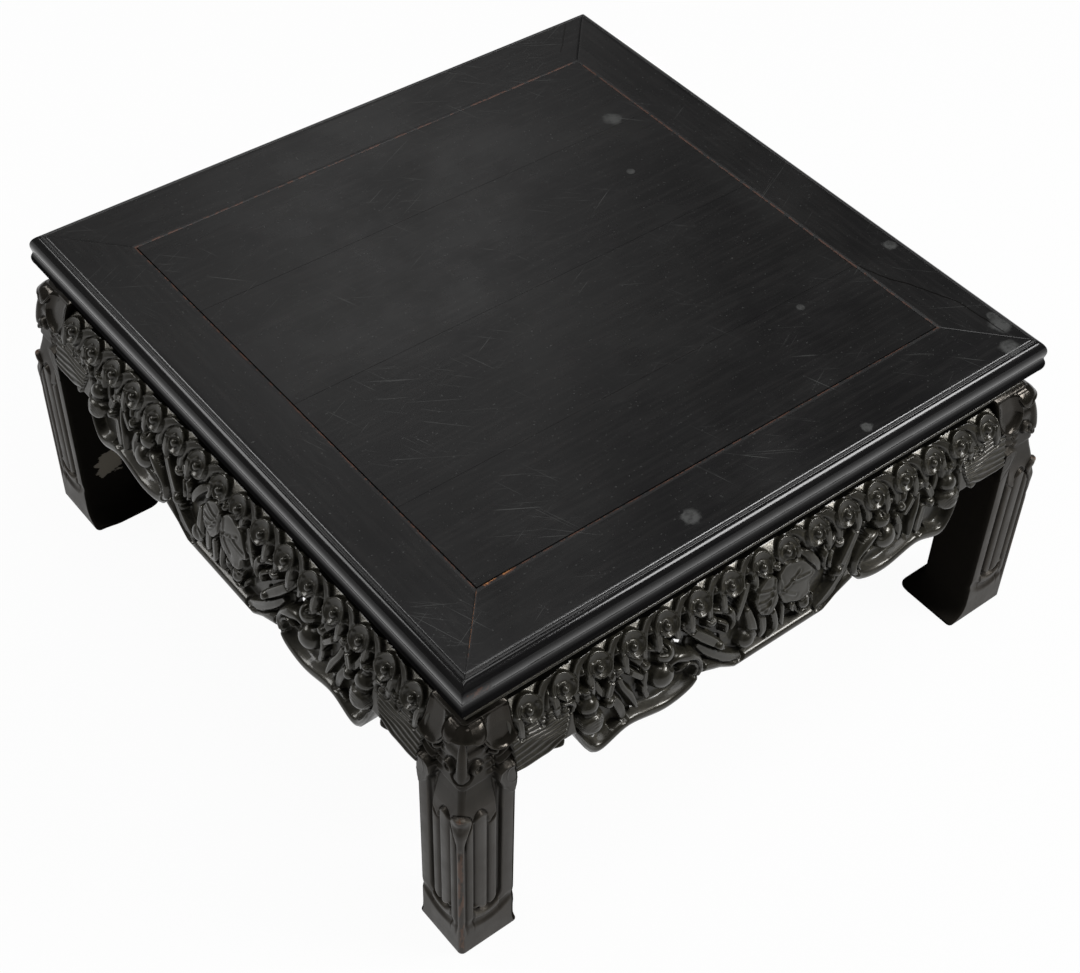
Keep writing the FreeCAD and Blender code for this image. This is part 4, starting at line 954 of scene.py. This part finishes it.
def shaft_relief(x, z):
    """Heights of the reeds and the plain foot, and depth of the hooked groove, on a leg's face."""
    edges = (0.0,) + REED_VALLEYS + (GROOVE_AT - 2.0,)
    reed = -1.6 * np.clip(x / edges[1], 0, 1) ** 3 * (x < edges[1])
    for low, high in zip(edges[1:], edges[2:]):
        t = np.abs(2 * (x - (low + high) / 2) / (high - low))
        reed = np.where((x >= low) & (x < high), -1.8 * np.clip(t, 0, 1) ** 3, reed)
    for valley in REED_VALLEYS:
        reed -= 1.3 * hump(x, valley, 0.8)
    # The groove runs straight down and then hooks round inward, and the reeds end inside its hook.
    middle_x, middle_z = HOOK_CENTRE
    hook = GROOVE_AT - middle_x
    above = z > middle_z
    ring = np.where(above, np.abs(x - middle_x), np.hypot(x - middle_x, z - middle_z))
    turn = np.arctan2(middle_z - z, x - middle_x)
    inside = np.where(above, 1.0, smoothstep(hook - ring, 0.5, 4.0))
    inside = np.where(x < REED_VALLEYS[1], smoothstep(z, 24.0, 46.0), inside) * (x < GROOVE_AT)
    cove = -2.4 * hump(ring - hook, 14.0, 4.4, 4) * smoothstep(turn, 0.3, 0.9)
    cove *= (1 - smoothstep(turn, 1.9, 2.5)) * ~above
    strip = -0.9 * ((x - 48.0) / 7.0) ** 2 * (x > GROOVE_AT) * smoothstep(z, 30, 50)
    on_ring = np.where(above, x > middle_x, turn < HOOK_TURN)
    groove = np.where(on_ring, hump(ring, hook, GROOVE_HALF_WIDTH, 6), 0)
    end = np.hypot(x - middle_x - hook * math.cos(HOOK_TURN), z - middle_z + hook * math.sin(HOOK_TURN))
    groove = np.maximum(groove, hump(end, 0, GROOVE_HALF_WIDTH, 6))
    return reed * inside + cove + strip, GROOVE_DEPTH * groove


def petal_top(x):
    """Height at which the reeds end in petals under the smooth neck."""
    middle = (REED_VALLEYS[1] + REED_VALLEYS[2]) / 2
    near = 172.0 + 0.6 * (x - REED_VALLEYS[0])
    outer = 165.0 + 0.9 * (x - REED_VALLEYS[2])
    top = np.where(x < REED_VALLEYS[1], near, 184.5 - 0.16 * (x - middle) ** 2)
    return np.where((x >= REED_VALLEYS[2]) & (x < GROOVE_AT), outer, top)


def neck_inset(z):
    """How far inside the leg's outer planes the smooth neck and the head's ground lie."""
    return np.interp(z, [170, 178, 188, 196, 205, 213, 222, 236, 250, 262, 270, 276],
                     [0.0, 1.6, 3.0, 4.8, 7.0, 8.6, 9.8, 11.4, 13.0, 15.5, 17.5, 19.5])


def corner_petal(work):
    """The petal with a rolled tip in which the corner's reed ends."""
    side = [(0, 190.5), (5, 189.6), (10, 186.4), (12.6, 182), (11.2, 176), (8.2, 168), (6.2, 158),
            (5.6, 149), (0, 147)]
    outline = side + [(-a, b) for a, b in side[-2:0:-1]]
    rim = work.inside_rim(outline)
    x, z = work.along, work.up
    hollow = 2.6 * hump(z, 178, 4.5) * np.clip(1 - (x / 9.5) ** 2, 0, 1)
    work.lay(rim, 0.4 - 0.8 * smoothstep(x, 7, 13) - hollow - 1.6 * (1 - smoothstep(z, 150, 166)), 0.6, -6)
    tip = [(12, 183, 1, -1.4), (7.5, 187.2, 1.3, 0.2), (0, 189, 1.6, 1)]
    work.strand(tip + [(-a, b, c, d) for a, b, c, d in tip[-2::-1]], foot=-4, gap=0)


def head_work(work):
    """The carved head: lappets, nose, curls and leaves over the neck's ground."""
    sweep = (work.up - 216.0 - 0.010 * np.clip(work.along - 30, 0, None) ** 2) / 7.5
    cheek = smoothstep(sweep, -0.4, 0.2) * (1 - smoothstep(work.up, 246, 254))
    folds = 1.3 * np.cos(2 * math.pi * sweep) * smoothstep(work.along, 29, 36)
    work.height += cheek * (2.2 - folds)
    leaf = [(38.3, 222), (37.2, 214), (39.2, 208), (41.2, 201.5), (45.2, 196), (48.2, 190.5), (52, 188.4),
            (55.2, 190), (57.4, 196), (57.6, 204), (56.5, 213), (54, 221), (46, 225)]
    work.lobe(leaf, -0.4, 2.2, 0.8, 8, 0.7)
    fold = [(45, 222), (43.4, 213), (45.5, 205.5), (50, 201.5), (54.5, 203), (57.5, 209), (57, 218),
            (52, 224)]
    work.lobe(fold, 0.3, 1.5, -0.9, 5, 0.8)
    near = Relief(work.along - neck_inset(work.up), work.up, work.height)
    near.ball(28, 241.8, 4.8, -5.6, foot=-13, gap=0.5)
    bowl = [(15.5, 292), (15, 262), (18, 253.5), (24.5, 247), (32, 243.4), (39, 242.8), (44.5, 246.2),
            (47.6, 252.5), (48, 261), (45, 270), (41.5, 292)]
    near.lobe(bowl, -4.2 - 0.34 * np.clip(near.up - 246, 0, None), 2.4, -4.8, 10, 1.6)
    cap = [(-20, 265.6), (0, 265.2), (5.5, 262), (10.5, 260.2), (14.6, 261.6), (17.4, 266.5), (18, 276),
           (17.5, 292), (-20, 292)]
    rise = np.clip(near.up - 263, 0, None)
    near.lobe(cap, -8.6 - 0.20 * rise - 0.058 * rise ** 2, 2, 2, 8, 1.3)
    near.ball(0, 230, 6.4, -5, foot=-10.5, gap=0)
    near.strand([(0, 263, 1.6, -11), (0, 254, 2.6, -8), (0, 244, 3.2, -5.6), (0, 234, 3.5, -4.2),
                 (0, 228, 3, -4)], foot=-11, gap=0)
    ring = np.hypot(near.along - CURL_PLACE[0], near.up - CURL_PLACE[1])
    tube = np.abs(ring - 4.4)
    near.lay(ring - 6.2, -8.4, 0.4, -11)
    near.lay(tube - 1.7, -8.6 + 3.6 * dome(tube / 1.7), 0, 0)
    near.ball(CURL_PLACE[0], CURL_PLACE[1], 2.1, -5.6, foot=-9, gap=0)
    near.strand([(8.2, 230, 1.2, -5.4), (7.2, 227.4, 1.3, -5.2), (4.4, 224.8, 1.4, -4.8),
                 (0, 223.6, 1.5, -4.6), (-4.4, 224.8, 1.4, -4.8)], foot=-9.5, gap=0)
    return near.height


def outer_face(widen, toe):
    """One outer face of a leg from its round corner inward: places, painted light and shade from its relief,
    and rub.
    """
    # Here w counts inward from the corner, which the neck sets back by p, and x from the outer side.
    p = (neck_inset(LEG_LEVELS) * smoothstep(LEG_LEVELS, 172, 186))[:, None]
    round_steps = np.linspace(0, CORNER_ROUND, 8)[:-1]
    w, z = np.meshgrid(np.concatenate([round_steps, np.arange(CORNER_ROUND, 49.9, 0.52), [50.0]]), LEG_LEVELS)
    x = p + w * ((LEG_SECTION + widen)[:, None] - p) / 54.0
    x = x + smoothstep(w, 34, 50) * toe[:, None]
    # The ground steps in behind the petals' tips to the neck, and follows a strip at the side.
    top = petal_top(x)
    side = smoothstep(x, GROOVE_AT + 0.5, GROOVE_AT + 2.2)
    strip = np.interp(z, [0, 200, 208, 222, 240, 262, 276], [0, 0, 1.4, 6.0, 10.0, 14.5, 19.5])
    ground = neck_inset(z) * smoothstep(z, top - 1.4, top + 1.0) * (1 - side) + strip * side
    behind = 1.8 * hump(z - top, 1.7, 1.4) * (1 - side)
    ground = ground + behind * smoothstep(x, REED_VALLEYS[0], REED_VALLEYS[0] + 2.0)
    carve, groove = shaft_relief(x, z)
    carve *= 1 - smoothstep(z, top - 1.5, top + 0.5) * (x < GROOVE_AT - 2.4)
    work = Relief(x, z, np.minimum(carve - ground, -groove * (1 - smoothstep(z, 206, 214))))
    corner_petal(work)
    head_share = np.maximum(smoothstep(z, 186, 189) * smoothstep(x, 14, 16), smoothstep(z, 192, 196))
    work.height = head_work(work) * head_share + work.height * (1 - head_share)
    total = softened(np.minimum(work.height, 1.0)) - 1.6 * (1 - smoothstep(z, 0, 2.5))
    total = np.where(z > 274.5, np.minimum(total, -ground), total)
    # Places stand on the corner's arc first, and then straight out of the face.
    turn_at = math.pi / 4 * (1 + w / CORNER_ROUND)
    lift = CORNER_ROUND + p + total
    on_arc = w < CORNER_ROUND - 1e-6
    face_x = np.where(on_arc, p + CORNER_ROUND - np.cos(turn_at) * lift, x)
    face_y = np.where(on_arc, p + CORNER_ROUND - np.sin(turn_at) * lift, -total)
    # Painted shade: lighter on raised work, darker in hollows and darker still in the head's deep recesses.
    recess_shade = np.clip(-total - 8.0, 0, 4) * smoothstep(z, 205, 212) * (1 - smoothstep(z, 258, 266))
    shade = np.clip(0.5 + (total - blurred(total, 14)) / 4.0 - 0.10 * recess_shade, 0, 1)
    rub = hump(w, 0, 4.0) * (z < 150) + 0.35 * hump(w, 0, 3.5) * (z >= 150) * (z < 172)
    rub += 2 * hump(w, 0.5, 2.0) * hump(z, 188, 1.8)
    return face_x, face_y, shade, rub


def leg_ring(face_x, face_y, near, far, deep, level):
    """Places round a leg at a level: its two outer faces, its sides and its rounded inner corner."""
    quarter_turn = np.linspace(0, math.pi / 2, 6)
    start_x, start_y = face_x[-1], face_y[-1]
    round_x = start_x + (near - start_x) * np.sin(quarter_turn[1:])
    round_y = start_y + 4.0 - 4.0 * np.cos(quarter_turn[1:])
    side_y = np.linspace(start_y + 4.0, far - deep, 14)[1:-1]
    side_x = near + (far - near) * smoothstep(side_y, start_y + 4.0, start_y + 24.0)
    run_x = np.concatenate([face_x, round_x, side_x])
    run_y = np.concatenate([face_y, round_y, side_y])
    inner_x = far - deep + deep * np.cos(quarter_turn)
    inner_y = far - deep + deep * np.sin(quarter_turn)
    ring_x = np.concatenate([run_x, inner_x, run_y[:0:-1]])
    ring_y = np.concatenate([run_y, inner_y, run_x[:0:-1]])
    return np.stack([ring_x, ring_y, np.full(len(ring_x), level)], axis=1)


def ring_values(face_values, plain_value, plain_count, post_value):
    """Values of every place of a leg: over a face, the plain sides and the other face, then the post."""
    plain = np.full((len(face_values), plain_count), plain_value)
    rings = np.hstack([face_values, plain, face_values[:, :0:-1]])
    return np.append(rings.ravel(), [post_value] * 8)


def leg(corner, quarter, edge_toe):
    """A leg with carved head, reeded shaft and inturned toe, as one skin round its section."""
    # Level by level the toe flares out, the sole is eased and the head is a little wider.
    flare = 1 - np.sqrt(1 - np.clip((TOE_TOP - LEG_LEVELS) / (TOE_TOP - 3.0), 0, 1) ** 2 * 0.98)
    sole = 1.5 * (1 - smoothstep(LEG_LEVELS, 0, 2.5))
    widen = 6.0 * smoothstep(LEG_LEVELS, 220, 238) + 1.6 * hump(LEG_LEVELS, 203, 11, 4)
    near = LEG_SECTION + edge_toe * flare - sole + widen
    far = LEG_SECTION + TOE_REACH * flare - sole + widen
    face_x, face_y, shade, rub = outer_face(widen, edge_toe * flare)
    rings = [leg_ring(*row) for row in zip(face_x, face_y, near, far, 5.0 + 7.0 * flare, LEG_LEVELS)]
    count, columns = len(rings), len(rings[0])
    faces = []
    for a in range(0, (count - 1) * columns, columns):
        for column in range(columns):
            b = a + (column + 1) % columns
            faces.append((a + column, b, b + columns, a + column + columns))
    faces.append(tuple(range(columns - 1, -1, -1)))
    faces.append(tuple(range((count - 1) * columns, count * columns)))
    faces += [tuple(count * columns + i for i in face) for face in POST_FACES]
    low, high = POST_SIDES
    post = [(x, y, z) for z in POST_LEVELS for x, y in ((low, low), (high, low), (high, high), (low, high))]
    places = turned(np.vstack(rings + [post]), quarter)
    places[:, 0] += HALF_X + LEG_OVERHANG if quarter in (1, 2) else -HALF_X - LEG_OVERHANG
    places[:, 1] += HALF_Y + LEG_OVERHANG if quarter in (2, 3) else -HALF_Y - LEG_OVERHANG
    plain_count = columns - 2 * face_x.shape[1] + 1
    values = {"relief": ring_values(shade, 0.42, plain_count, 0.3),
              "rub": ring_values(rub, -1.0, plain_count, -1.0)}
    piece = add_mesh("dressed_leg_" + corner, places, faces, LEG, values)
    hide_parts("leg_" + corner)


for quarter, (corner, edge_toe) in enumerate(EDGE_TOES.items()):
    leg(corner, quarter, edge_toe)


# Floor, lamps and camera
def make_floor():
    """A floor that is pale to the camera and in gloss and glass, and grey to the light."""
    reach = 6.0
    mesh = bpy.data.meshes.new("floor")
    mesh.from_pydata([(-reach, -reach, 0), (reach, -reach, 0), (reach, reach, 0), (-reach, reach, 0)], [],
                     [(0, 1, 2, 3)])
    n = Nodes("pale_floor", "MixShader")
    rays = n.add("LightPath", {})
    seen = n.larger(rays["Is Camera Ray"], rays["Is Glossy Ray"])
    seen = n.larger(seen, rays["Is Transmission Ray"])
    surface = {0: n.times(seen, 0.96), 1: n.add("BsdfDiffuse", {"Color": (0.60, 0.60, 0.60, 1)})[0],
               2: n.add("Emission", {"Strength": 1.0})[0]}
    for key, value in surface.items():
        feed(n.tree, n.shader.inputs[key], value)
    mesh.materials.append(n.material)
    floor = bpy.data.objects.new("floor", mesh)
    bpy.context.scene.collection.objects.link(floor)


def lamp(name, place, target, size_x, size_y, power):
    """A rectangular lamp at a place, turned to a target."""
    data = bpy.data.lights.new(name, "AREA")
    data.shape = "RECTANGLE"
    data.size = size_x
    data.size_y = size_y
    data.energy = power
    made = bpy.data.objects.new(name, data)
    bpy.context.scene.collection.objects.link(made)
    made.location = place
    x, y, z = np.array(place) - np.array(target)
    made.rotation_euler = (math.atan2(math.hypot(x, y), z), 0, math.atan2(x, -y))


# The pale walls of the room begin at this angle from +X; on the other side it is dim.
WALL_CORNER = math.radians(47)
WALL_BLEND = 0.06
PALE_STRENGTH = 0.20
DIM_STRENGTH = 0.015


def make_light():
    """A room with a pale and a dim side, and four lamps."""
    world = bpy.data.worlds.new("studio")
    bpy.context.scene.world = world
    world.use_nodes = True
    tree = world.node_tree
    direction = add_node(tree, "TexCoord", {})["Generated"]
    across = (-math.sin(WALL_CORNER), math.cos(WALL_CORNER), 0)
    side = add_node(tree, "VectorMath", {0: direction, 1: across}, operation="DOT_PRODUCT")["Value"]
    ranges = {"Value": side, "From Min": -WALL_BLEND, "From Max": WALL_BLEND, "To Min": DIM_STRENGTH,
              "To Max": PALE_STRENGTH}
    strength = add_node(tree, "MapRange", ranges, interpolation_type="SMOOTHSTEP")["Result"]
    background = tree.nodes["Background"]
    feed(tree, background.inputs["Color"], (1.0, 0.985, 0.96, 1))
    feed(tree, background.inputs["Strength"], strength)
    lamp("lamp_front_right", (1.55, -1.75, 2.1), (0, 0, 0.2), 1.2, 0.55, 75)
    lamp("lamp_left_rear", (-1.45, 1.66, 1.96), (-0.3, 0, 0.3), 1.2, 0.7, 30)
    lamp("lamp_behind", (1.72, 2.82, 3.0), (-0.08, 0.1, 0.33), 1.0, 0.9, 2.2)
    lamp("lamp_above", (0.2, -0.4, 3.0), (0, 0, 0.2), 1.4, 1.4, 40)


def make_camera():
    data = bpy.data.cameras.new("camera")
    data.sensor_width = 36
    data.lens = 64.88
    data.shift_x = -0.0693
    data.shift_y = 0.0147
    made = bpy.data.objects.new("camera", data)
    bpy.context.scene.collection.objects.link(made)
    made.location = (-0.8131, -1.0080, 1.4169)
    made.rotation_euler = (0.7624, -0.0494, -0.6912)
    bpy.context.scene.camera = made


make_floor()
make_light()
make_camera()
bpy.context.scene.view_settings.view_transform = "Standard"
